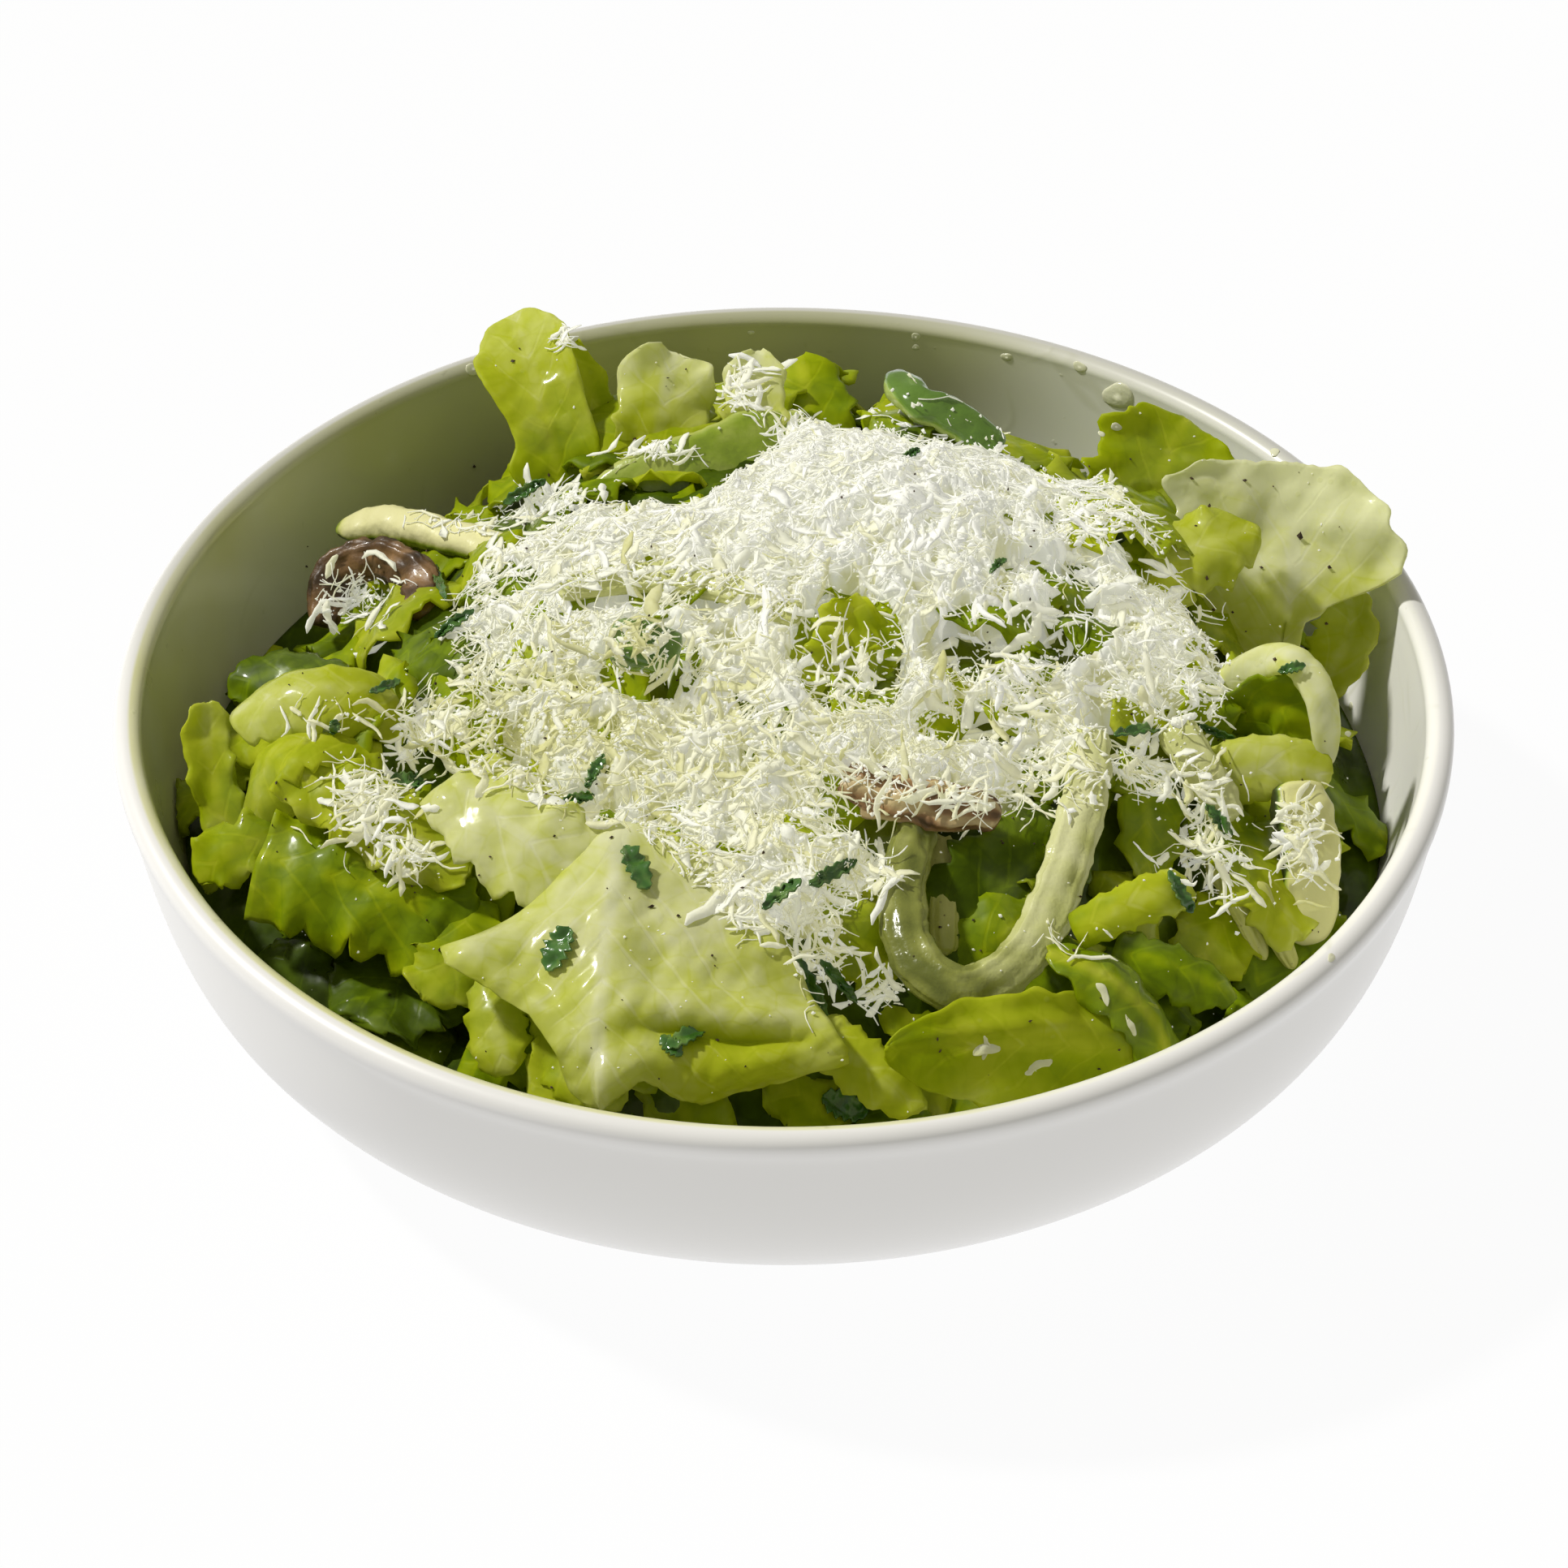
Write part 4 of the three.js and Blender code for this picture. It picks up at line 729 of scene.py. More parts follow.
        right=7, face=(0.1, -0.5, 0.9), root=0.8, cup=-30, ruffle=1.4, tone=(0.60, 0.58),
        edgeTone=0.1),
    "leftRuffle": dict(base=(-90, -47, 54), mid=(-69, -56, 54), tip=(-51, -61, 48), left=9,
        right=12, blunt=3, cup=-50, ruffle=2, waves=3.5, tone=(0.40, 0.34), edgeTone=0.14,
        frill=0.7),
    "leftFrill": dict(base=(-88, -42, 54), mid=(-95, -45, 54), tip=(-101, -49, 50), left=6,
        right=6, cup=-40, ruffle=1.4, waves=2, tone=(0.46, 0.48), edgeTone=0.1, frill=0.7),
    "smallLobe": dict(base=(-54, -56, 52), mid=(-56, -65, 48), tip=(-61, -72, 43), left=8, right=8,
        root=0.6, cup=-40, ruffle=1.3, tone=(0.44, 0.54), edgeTone=0.1, frill=0.6),
    "darkBottom": dict(base=(-89, -36, 34), mid=(-74, -51, 34), tip=(-57, -62, 34), left=9,
        right=9, root=0.8, cup=-60, ruffle=0.8, waves=2, tone=(0.20, 0.24), edgeTone=0.1),
    "paleBlade": dict(base=(5, -86, 50), mid=(13, -93, 47.5), tip=(23, -98, 42), left=5, right=5,
        cup=-30, ruffle=0.4, tone=(0.68, 0.66)),
    "shadeLeaf": dict(base=(8, -56, 52), mid=(16, -65, 51), tip=(26, -66, 43), left=7, right=9,
        face=(0.1, -0.6, 0.8), root=0.8, blunt=2.2, cup=-40, ruffle=0.6, tone=(0.40, 0.30)),
    "creamLeaf": dict(base=(-56, -42, 68), mid=(-43, -57, 66), tip=(-27, -63, 62),
        face=(-0.1, -0.5, 0.9), root=0.8, cup=-30, ruffle=0.7, buckle=0.8, tone=(0.86, 0.84),
        frill=0.15),
    "tipInCheese": dict(base=(10, -29, 68), mid=(10, -20, 77), tip=(13, -14, 85), left=5.5,
        right=6.5, face=(0, -0.8, 0.6), root=0.6, belly=0.6, blunt=3, cup=30, ruffle=1.6,
        waves=2.5, buckle=0.8, tone=(0.50, 0.60), frill=0.6),
    "darkBehind": dict(base=(24, -66, 46), mid=(37, -58, 56), tip=(51, -44, 60), left=11, right=11,
        face=(0.1, -0.7, 0.7), blunt=2.2, cup=-20, ruffle=0.8, tone=(0.20, 0.26)),
    "leftFlat": dict(base=(-79, 5, 50), mid=(-92, 12, 47), tip=(-101, 12, 42), left=6, right=6,
        face=(0.3, -0.3, 0.9), blunt=2.2, cup=-30, ruffle=0.5, tone=(0.20, 0.22)),
}


def leafWidth(u, root, belly, blunt):
    wide = root + (1 - root) * np.sin(np.minimum(u / belly, 1) * math.pi / 2)
    fall = np.clip((u - belly) / (1 - belly), 0, 1)
    return np.where(u < belly, wide, np.sqrt(np.maximum(1 - fall ** blunt, 0)))


def turned(side, normal, angle):
    c, s = np.cos(angle)[..., None], np.sin(angle)[..., None]
    return side * c - normal * s, side * s + normal * c


def foldShare(u, v, along, across, reachAlong, reachAcross):
    return np.exp(-((u - along) / reachAlong) ** 2 - ((v - across) / reachAcross) ** 2)


def leafGrid(leaf, seed, cell=0.85, clear=0.35):
    # the middle surface of a leaf as a grid, and the millimetres along and across it
    base, mid, tip = (np.array(leaf[k], float) for k in ("base", "mid", "tip"))
    pull = 2 * mid - (base + tip) / 2
    length = np.linalg.norm(mid - base) + np.linalg.norm(tip - mid)
    rows = max(int(length / cell), 10)
    columns = max(int((leaf["left"] + leaf["right"]) / cell), 8)
    uShare, v = np.meshgrid(np.linspace(0, 1, rows), np.linspace(-1, 1, columns), indexing="ij")
    uShare = np.sin(uShare * math.pi / 2) * 0.25 + uShare * 0.75
    u = uShare * 0.995
    if leaf["hem"]:
        u = u * (1 - uShare ** 2 * (1 - np.interp(v, *zip(*leaf["hem"]))))
    s, t = 1 - u[..., None], u[..., None]
    spine = s ** 2 * base + 2 * s * t * pull + t ** 2 * tip
    tangent = unit(2 * s * (pull - base) + 2 * t * (tip - pull))
    side = unit(np.cross(tangent, np.array(leaf["face"], float)))
    normal = np.cross(side, tangent)
    side, normal = turned(side, normal, np.radians(leaf["twist"]) * (u - 0.5))
    bend = math.radians(leaf["cup"]) / (leaf["left"] + leaf["right"]) + 1e-6
    phase = [draw(seed * 7 + i) * turn for i in range(8)]
    edge = np.abs(v)
    edgePhase = np.where(v < 0, phase[0], phase[1])
    wave = turn * u * leaf["waves"]
    notch = np.sin(wave * 1.7 + edgePhase * 2) + 0.6 * np.sin(wave * 3.3 + edgePhase * 3)
    lobes = 1 + leaf["lobe"] * edge ** 2 * notch * np.clip(u * 4, 0, 1)
    halfWidth = np.where(v < 0, leaf["left"], leaf["right"])
    # fine teeth and tears round the edge, on top of the solid's lobes
    mmAlong = u * length
    edgeLine = np.stack([mmAlong, np.where(v < 0, 0.0, 60.0), np.full_like(u, seed * 17.0)], -1)
    teeth = 1.6 * wobble(edgeLine, 9, seed + 500, 3)
    lobes = lobes + 0.22 * leaf["frill"] * edge ** 4 * teeth / np.maximum(halfWidth / 3, 1)
    plain = leafWidth(u, leaf["root"], leaf["belly"], leaf["blunt"])
    shapes = [plain if stops is None else np.interp(u, *zip(*stops))
              for stops in (leaf["leftShape"], leaf["rightShape"])]
    arc = v * halfWidth * np.where(v < 0, *shapes) * lobes
    x = np.sin(bend * arc) / bend
    curl = (1 - np.cos(bend * arc)) / bend
    waveHeight = np.sin(wave + edgePhase) + 0.45 * np.sin(wave * 2.1 + edgePhase * 1.7)
    ruffle = leaf["ruffle"] * edge ** 2.5 * waveHeight
    longBlister = np.sin(mmAlong / 17 + phase[4] + np.sin(arc / 11 + phase[5]))
    slant = mmAlong / 9 + arc / 14 + phase[6]
    shortBlister = np.sin(slant * 1.1) * np.cos((arc / 11 + phase[5]) * 0.7 + phase[7])
    buckle = leaf["buckle"] * (0.6 * longBlister + 0.5 * shortBlister)
    along = 0.5 * leaf["ruffle"] * edge ** 3 * np.cos(wave + edgePhase)
    # the end of a leaf is torn too
    across = np.stack([arc, mmAlong, np.full_like(arc, seed * 31.0)], -1)
    along = along + 1.6 * leaf["frill"] * uShare ** 6 * wobble(across, 6, seed + 900, 3)
    veins = np.abs(((mmAlong * 0.12 - np.abs(arc) * 0.15) % 1) - 0.5)
    relief = 0.42 * wobble(across, 8.5, seed + 100, 2) + 0.5 * leaf["frill"] * edge ** 3 \
        * wobble(across, 4.5, seed + 300, 1) + 0.07 * rise(veins, 0.0, 0.3) * (1 - edge ** 4)
    fall = leaf["ridge"] * np.where(arc > 0, 1.0, 0.45)
    relief = relief - fall * (np.sqrt(arc ** 2 + 9) - 3) * np.exp(-np.abs(arc) / 40)
    for *spot, high, _ in leaf["folds"]:
        relief = relief + foldShare(uShare, v, *spot) * high
    point = spine + side * x[..., None] + normal * (curl + ruffle + buckle + relief)[..., None]
    point = point + tangent * along[..., None]
    spread = np.stack([mmAlong, arc, edge], -1)
    return keepInBowl(point, leaf["thick"] / 2 + clear), spread, uShare, v


def leafMesh(leaf, seed, cell=0.85):
    leaf = {**leafBasics, **leaf}
    middle, spread, u, v = leafGrid(leaf, seed, cell)
    edge = np.abs(v)
    rimThin = (1 - 0.62 * edge ** 6) * (1 - 0.5 * u ** 12)
    points, faces = sheetMesh(middle, leaf["thick"] * rimThin)
    tone = blend(leaf["tone"][0], leaf["tone"][1], u) + leaf["edgeTone"] * edge ** 3
    tone = tone + leaf["rib"] * np.exp(-(spread[..., 1] / 1.6) ** 2)
    # painted highlights on crests and painted shade in dips, partly the leaf's own colour too
    for *spot, _, shift in leaf["folds"]:
        tone = tone + foldShare(u, v, *spot) * shift
    tone = np.concatenate([tone.ravel(), tone.ravel()])
    spread = np.concatenate([spread.reshape(-1, 3)] * 2)
    return points, faces, {"tone": tone, "spread": spread}


def makeLeaves():
    for index, (name, leaf) in enumerate(leafPieces.items()):
        points, faces, values = leafMesh(leaf, index + 3)
        addLeaf("leaf" + name[0].upper() + name[1:], points, faces, values)


# where the leaves underneath lie lower, so that what is over them shows: place, reach and depth
clearings = [((-22, -80), (34, 22), 5), ((-14, 52), (24, 13), 5), ((-20, 34), (18, 9), 6.5),
             ((-70, 52), (18, 10), 5), ((-64, 42), (16, 10), 5), ((88, 16), (16, 16), 6),
             ((46, 64), (24, 13), 7), ((30, -60), (14, 14), 7),
             ((38, 86), (22, 12), 12)]


def cleared(x, y):
    return sum(hump(x, y, *clearing) for clearing in clearings)


def lyingLeaf(angle, fromRadius, toRadius, width, seed):
    # a leaf lying on the heap from one radius out to another, as in the solids
    swing = angle + (draw(seed) - 0.5) * 0.5

    def at(a, r, over):
        x, y = math.cos(a) * r, math.sin(a) * r
        return (x, y, float(heapTop(x, y) - cleared(x, y)) + over)

    return dict(base=at(angle, fromRadius, -1),
                mid=at((angle + swing) / 2, (fromRadius + toRadius) / 2, 6 + 3 * draw(seed + 40)),
                tip=at(swing, toRadius, 5 + 3 * draw(seed + 80)), left=width, right=width,
                face=(math.cos(angle) * 0.5, math.sin(angle) * 0.5, 0.8), root=0.8, cup=-25,
                buckle=0.8, frill=0.5,
                tone=(0.30 + 0.3 * draw(seed + 7), 0.34 + 0.4 * draw(seed + 9)), edgeTone=0.08)


darkCorner = ((-76, -66), (26, 20), 0.26)  # deep green leaves lie at the front left

lyingLook = {
    "wallCount": 7,       # round the foot of the heap, out to the wall
    "wallRadii": (80, 103),
    "wallWidth": (9, 13),
    "farCount": 6,        # up the far slope, between these headings in degrees
    "farHeadings": (18, 162),
    "farRadii": (54, 66),
    "farLength": 30,
    "farWidth": (11, 15),
}


def makeLyingLeaves():
    look, lying = lyingLook, []
    for i in range(look["wallCount"]):
        angle = turn * (i + 0.6 * draw(i + 300)) / look["wallCount"]
        lying.append(lyingLeaf(angle, *look["wallRadii"], blend(*look["wallWidth"], draw(i + 320)),
                               i + 200))
    for i in range(look["farCount"]):
        share = (i + 0.7 * draw(i + 400)) / look["farCount"]
        radius = look["farRadii"][i % 2]
        lying.append(lyingLeaf(math.radians(blend(*look["farHeadings"], share)), radius,
                               radius + look["farLength"],
                               blend(*look["farWidth"], draw(i + 420)), i + 260))
    for i, leaf in enumerate(lying[1:], 1):  # the big leaf on the right lies over the first
        points, faces, values = leafMesh(leaf, i + 60, 1.1)
        x, y = points[:, 0].mean(), points[:, 1].mean()
        values["tone"] = values["tone"] - hump(x, y, *darkCorner)
        addLeaf(f"lyingLeaf{i:02d}", points, faces, values)


fillerLook = {
    "count": 130,
    "innerRadius": 4,
    "outerRadius": 106,
    "length": (14, 26),
    "halfWidth": (5, 10),
    "heading": 2.39996,  # radians from each to the next, which spreads them evenly
    "shade": ((38, -4), (20, 16), 0.2),
}


def makeFillerLeaves():
    # torn pieces that close the gaps between the larger leaves, all round the heap
    heap = Heap()
    for i in range(fillerLook["count"]):
        angle = i * fillerLook["heading"]
        share = (i + 0.5) / fillerLook["count"]
        r = math.sqrt(blend(fillerLook["innerRadius"] ** 2, fillerLook["outerRadius"] ** 2, share))
        heading = angle + (draw(i + 2000) - 0.5) * 4
        half = blend(*fillerLook["length"], draw(i + 2100)) / 2
        stops = []
        overs = (-2.5, 2.4 + 2.2 * draw(i + 2200), -0.6 + 3 * draw(i + 2300))
        for k, over in zip((-1, 0, 1), overs):
            x = math.cos(angle) * r + math.cos(heading) * half * k
            y = math.sin(angle) * r + math.sin(heading) * half * k
            stops.append((x, y, float(heapTop(x, y) - cleared(x, y)) - 1.5 + over))
        wide = blend(*fillerLook["halfWidth"], draw(i + 2400))
        tone = 0.16 + 0.34 * draw(i + 2500) - 0.7 * hump(*stops[1][:2], *darkCorner)
        tone = tone - hump(*stops[1][:2], *fillerLook["shade"])
        leaf = dict(base=stops[0], mid=stops[1], tip=stops[2], left=wide, right=wide * 0.8,
                    face=(0.5 * math.cos(angle), 0.5 * math.sin(angle), 0.8), root=0.7,
                    blunt=2.4, cup=-60 + 110 * draw(i + 2600), ruffle=1.4, buckle=0.8, frill=0.6,
                    tone=(tone, tone + 0.1), edgeTone=0.08)
        heap.add(*leafMesh(leaf, i + 400, 1.4))
    heap.finish("fillerLeaves", leafFinish, "dressed_leaf")


makeLeaves()
makeLyingLeaves()
makeFillerLeaves()
print("leaves made")


# the large toppings

# Each lies along its path with its broad side to face, and ends give how blunt it starts and
# stops.
toppingPieces = {
    "avocadoLeft": dict(path=[(-85, 61, 44), (-74, 54, 50), (-61, 42, 56), (-36, 17, 66)], width=7,
        thick=6, face=(0, -0.35, 1), ends=(0.12, 0.9), kind="avocado"),
    "avocadoBack": dict(path=[(-34, 40, 57), (-25, 45, 63), (-13, 48, 66), (6, 57, 69.5)],
        width=18, thick=6, face=(0, -0.75, 0.6), ends=(0.4, 0.35), kind="avocado"),
    "avocadoRight": dict(path=[(90, -26, 54), (92, -37, 45), (91, -46, 33)], width=11, thick=6,
        face=(0.2, -0.8, 0.6), ends=(0.7, 0.4), kind="avocado"),
    "podBack": dict(path=[(20, 70, 74), (25, 59, 75), (32, 56, 73), (40, 52, 68)], width=7,
        thick=5, face=(0.2, -0.6, 0.8), ends=(0.12, 0.9), kind="pod"),
    "podCut": dict(path=[(-29, -19, 78), (-24, -22, 81), (-19, -22, 78)], width=9, thick=8,
        face=(0, -0.5, 0.8), ends=(0.8, 0.8), kind="pod"),
    "anchovyRoll": dict(path=[(-86, 33, 42), (-84, 41, 48), (-76, 41, 52), (-68, 33, 54),
        (-66, 21, 54)], width=8, thick=4, face=(0, -0.9, 0.4), ends=(0.6, 0.7), kind="anchovy"),
    "anchovyFront": dict(path=[(-2, -37, 68), (12, -45, 68), (24, -49, 68), (37, -51, 67)],
        width=8, thick=3.5, face=(0, -0.7, 0.7), ends=(0.7, 0.5), kind="anchovy"),
    "fennelCurve": dict(path=[(23, -50, 64), (20, -63, 60), (22, -75, 56), (30, -81, 54),
        (40, -75, 56), (47, -60, 60), (52, -41, 65), (53, -29, 68)], width=8, thick=4,
        face=(0, -0.8, 0.6), ends=(0.8, 0.7), kind="fennel"),
    "fennelStrip": dict(path=[(-40, 0, 76), (-25, 0, 79), (-12, -5, 81), (3, -14, 81)], width=5.5,
        thick=3, face=(0, -0.5, 0.9), ends=(0.6, 0.7), kind="fennel"),
    "celeryStick": dict(path=[(26, -44, 62), (27, -55, 57), (27, -68, 50)], width=5.5, thick=3,
        face=(0, -0.8, 0.6), ends=(0.9, 0.8), kind="celery"),
    "stalkRight": dict(path=[(68, -20, 62), (73, -28, 58), (78, -35, 52)], width=7, thick=4,
        face=(0.1, -0.7, 0.7), ends=(0.9, 0.9), kind="fennel"),
    "stickLong": dict(path=[(74, -40, 48), (79, -46, 42), (84, -51, 34)], width=3.4, thick=2.2,
        face=(0, -0.7, 0.7), ends=(0.8, 0.3), kind="celery"),
    "stickShort": dict(path=[(82, -44, 46), (85, -48, 40), (89, -51, 32)], width=3.4, thick=2.2,
        face=(0, -0.7, 0.7), ends=(0.8, 0.5), kind="celery"),
}

toppingKinds = {
    "avocado": dict(finish=avocadoFinish, slot="avocado", lump=0.30, lumpSize=7, ridges=0.0),
    "pod": dict(finish=podFinish, slot="pod_skin", lump=0.30, lumpSize=6, ridges=0.0),
    "anchovy": dict(finish=anchovyFinish, slot="anchovy", lump=0.5, lumpSize=5, ridges=0.22),
    "fennel": dict(finish=fennelFinish, slot="fennel", lump=0.28, lumpSize=5, ridges=0.22),
    "celery": dict(finish=celeryFinish, slot="celery", lump=0.15, lumpSize=6, ridges=0.14),
}


barShape = {
    "crowd": 0.45,     # how far the cuts crowd towards the ends
    "taperShare": 0.18,
    "roundOver": 1.6,  # millimetres at each end
    "square": 0.75,    # 1 is a round section, and less is squarer
}


def barMesh(piece, lump, lumpSize, ridges, seed, cell=0.7, sides=36):
    # a closed bar of rounded section, as in the solids but finer and uneven
    length = np.linalg.norm(np.diff(np.array(piece["path"], float), axis=0), axis=1).sum()
    u = np.linspace(0, 1, max(int(length / cell), 12))
    crowd = 1 - barShape["crowd"] * np.sin(u * math.pi) ** 2
    u = 0.5 - 0.5 * np.cos(u * math.pi) * crowd
    u = np.sort(np.clip(u, 0, 1))
    centre, tangent = curvePoints(piece["path"], u)
    side = unit(np.cross(tangent, np.array(piece["face"], float)))
    normal = np.cross(side, tangent)
    start, end = piece["ends"]
    fromStart = start + (1 - start) * np.sqrt(np.clip(u / barShape["taperShare"], 0, 1))
    fromEnd = end + (1 - end) * np.sqrt(np.clip((1 - u) / barShape["taperShare"], 0, 1))
    rounded = []
    for way in (u, 1 - u):
        inwards = np.clip(way * length / barShape["roundOver"], 0, 1)
        rounded.append(np.sqrt(np.clip(1 - (1 - inwards) ** 2, 0.02, 1)))
    taper = np.minimum(fromStart, fromEnd) * np.minimum(*rounded)
    angle = np.arange(sides) * turn / sides
    across, through = [np.sign(a) * np.abs(a) ** barShape["square"]
                       for a in (np.cos(angle), np.sin(angle))]
    x = across * (piece["width"] / 2 * taper)[:, None]
    y = through * (piece["thick"] / 2 * taper)[:, None]
    rings = centre[:, None] + side[:, None] * x[..., None] + normal[:, None] * y[..., None]
    away = unit(rings - centre[:, None])
    height = lump * wobble(rings, lumpSize, seed, 3) * taper[:, None]
    height = height + ridges * np.sin(angle * 9 + 0.6 * np.sin(u * 9)[:, None]) * taper[:, None]
    return rings + away * height[..., None], u, angle


def makeToppings():
    for index, (name, piece) in enumerate(toppingPieces.items()):
        kind = toppingKinds[piece["kind"]]
        rings, u, angle = barMesh(piece, kind["lump"], kind["lumpSize"], kind["ridges"],
                                  700 + index)
        uu, aa = np.meshgrid(u, angle, indexing="ij")
        tint = 0.35 + 0.18 * wobble(rings, 9, 800 + index, 2)
        if name == "avocadoLeft":  # rind along the lower edge and at the tip
            tint = 0.10 + 0.9 * rise(0.8 * np.cos(aa) - 0.6 * np.sin(aa), 0.55, 0.85)
            tint = tint + 0.75 * rise(-uu, -0.12, 0.0)
        elif name == "avocadoBack":  # the green just under the rind
            tint = 0.74 - 0.14 * rise(-np.cos(aa), 0.8, 0.98) + 0.07 * wobble(rings, 9, 811, 2)
        elif name == "avocadoRight":
            tint = 0.30 + 0.7 * rise(np.cos(aa), 0.6, 0.95)
        elif name == "podBack":
            tint = 0.55 + 0.45 * rise(-uu, -0.10, -0.02) - 0.45 * rise(np.cos(aa), 0.75, 1.0)
        elif name == "podCut":
            tint = 0.5 + 0.12 * wobble(rings, 5, 812, 2)
        elif name == "anchovyRoll":
            tint = 0.62 + 0.28 * wobble(rings, 7, 814, 3)
        elif name == "anchovyFront":  # paler where its fibres part
            tint = 0.30 + 0.30 * np.sin(aa * 5 + uu * 7) + 0.2 * wobble(rings, 6, 815, 3)
        elif name == "fennelCurve":  # darker on the left: glassier flesh there, and painted shade
            tint = 0.22 + 0.62 * rise(-uu, -0.66, -0.36) + 0.16 * wobble(rings, 7, 813, 2)
            tint = tint + 0.10 * np.sin(aa * 4 + 5 * uu)
        rings = keepInBowl(rings, 0.4)
        points, faces = tubeMesh(rings)
        node = "".join("_" + c.lower() if c.isupper() else c for c in name)
        addPiece(name, points, faces, kind["finish"], [node], {"tint": tint.ravel()})


makeToppings()
print("toppings made")


# the camera, which also finds places seen in the photograph

cameraSize = {
    "place": (0, -704.9, 615.6),
    "pitch": math.radians(39.64),
    "focus": 6181,
    "frameSize": 1932,
    "centre": (965.6, 966),
    "sensor": 36,
}


def makeCamera():
    data = bpy.data.cameras.new("camera")
    data.sensor_width = cameraSize["sensor"]
    data.lens = cameraSize["focus"] / cameraSize["frameSize"] * cameraSize["sensor"]
    camera = show(bpy.data.objects.new("camera", data))
    camera.location = Vector(cameraSize["place"]) * mm
    camera.rotation_euler = (math.pi / 2 - cameraSize["pitch"], 0, 0)
    bpy.context.scene.camera = camera


eye = np.array(cameraSize["place"])
pitchSine, pitchCosine = math.sin(cameraSize["pitch"]), math.cos(cameraSize["pitch"])
eyeAhead = np.array([0, pitchCosine, -pitchSine])
eyeUp = np.array([0, pitchSine, pitchCosine])


def seenPixel(points):
    # where points in millimetres show in the photograph's frame
    cx, cy = cameraSize["centre"]
    reach = points - eye
    depth = reach @ eyeAhead
    return np.stack([cx + cameraSize["focus"] * reach[..., 0] / depth,
                     cy - cameraSize["focus"] * (reach @ eyeUp) / depth], -1)


def pixelRay(x, y):
    cx, cy = cameraSize["centre"]
    return unit(eyeAhead * cameraSize["focus"] + np.array([x - cx, 0, 0]) - eyeUp * (y - cy))


def surfaceTree():
    # everything built so far as one search tree, in millimetres
    points, faces, count = [], [], 0
    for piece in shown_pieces():
        mesh = piece.data
        co = np.zeros(len(mesh.vertices) * 3, np.float32)
        mesh.vertices.foreach_get("co", co)
        mesh.calc_loop_triangles()
        tri = np.zeros(len(mesh.loop_triangles) * 3, np.int32)
        mesh.loop_triangles.foreach_get("vertices", tri)
        points.append(co.reshape(-1, 3) / mm)
        faces.append(tri.reshape(-1, 3) + count)
        count += len(mesh.vertices)
    return BVHTree.FromPolygons(np.concatenate(points).tolist(), np.concatenate(faces).tolist(),
                                all_triangles=True)


def seenPlace(tree, x, y):
    # the place and the slope that a pixel of the photograph shows
    way = pixelRay(x, y)
    hit, slope = tree.ray_cast(Vector(eye), Vector(way))[:2]
    if hit is None:
        return None, None
    slope = np.array(slope)
    return np.array(hit), slope if slope @ way < 0 else -slope


def dropHeights(tree, x, y):
    # the height of the top surface under each plan place
    down, aloft = Vector((0, 0, -1)), 150
    heights = np.zeros(x.shape)
    for index in np.ndindex(x.shape):
        hit = tree.ray_cast(Vector((x[index], y[index], aloft)), down)[0]
        if hit is not None:
            heights[index] = hit.z
    return heights


makeCamera()


# the grated cheese

cheeseSize = {
    "centre": (6, -4),
    "radius": 68,
    "sink": 3,
    "depth": 4,
    "bareDepth": 12,
    "piles": [((22, 24), (24, 20), 7.5), ((-20, 12), (16, 14), 2.5)],
    "cuts": (420, 140),
    "clump": 1.5,
    "ribbons": dict(count=1700, length=(4, 15), width=(0.6, 2.3), thick=0.18, stations=7, pile=0.6,
                    curl=0.3, sides=4),
    "threads": dict(count=4000, length=(3, 10), width=(0.2, 0.5), thick=0.18, stations=6, pile=0.9,
                    curl=0.4, sides=3),
    "crumbs": dict(count=9000, size=(0.3, 1.3), pile=0.9),
    "tints": [((-42, -26), (30, 24), -0.24), ((18, 26), (34, 24), 0.2)],  # creamier at the front left with dressing and painted leaf-tinted light, whiter on the rear pile with painted light
    "strayScale": 0.62,
    "strayRadius": 108,  # none lie farther out, as the wall is there
    # lone far crumbs, within a frame of the photograph's pixels
    "strewn": dict(count=420, frame=((250, 400), (1700, 1380)), scale=0.6, radius=106),
}

# the cheese's outline in the photograph's pixels, and the spots in it that show what is under:
# place, reach and how bare
cheeseOutline = [
    (470, 820), (510, 750), (590, 700), (660, 650), (720, 618), (760, 630), (820, 630), (885, 596),
    (940, 558), (1000, 512), (1090, 495), (1200, 530), (1300, 575), (1360, 620), (1420, 690),
    (1470, 770), (1530, 850), (1510, 900), (1440, 940), (1360, 930), (1270, 950), (1240, 1010),
    (1120, 1000), (1080, 1040), (1050, 1110), (960, 1150), (880, 1085), (790, 1050), (700, 1060),
    (600, 1030), (555, 960), (490, 890)]
bareSpots = [
    ((1050, 800), (68, 70), 1.0),  # yellow-green tips
    ((800, 820), (60, 40), 1.0),  # cut pod
    ((830, 738), (104, 18), 0.6),  # fennel strip
    ((1230, 790), (96, 44), 0.95), ((1190, 880), (70, 26), 0.85), ((1320, 705), (34, 30), 0.85),
    ((1120, 985), (110, 34), 0.85),  # front anchovy
    ((1400, 890), (70, 26), 0.7), ((660, 830), (26, 16), 0.6), ((630, 985), (70, 34), 0.35),
    ((740, 975), (46, 14), 0.5), ((600, 700), (60, 24), 0.6), ((1300, 640), (24, 16), 0.4),
    ((1330, 760), (60, 34), 0.75), ((1260, 690), (40, 18), 0.6),
]


def cheeseEdge(angle):
    lobes = 3 * np.sin(3 * angle + 0.6) + 4 * np.sin(5 * angle + 2)
    return cheeseSize["radius"] + lobes + 2 * np.sin(9 * angle)


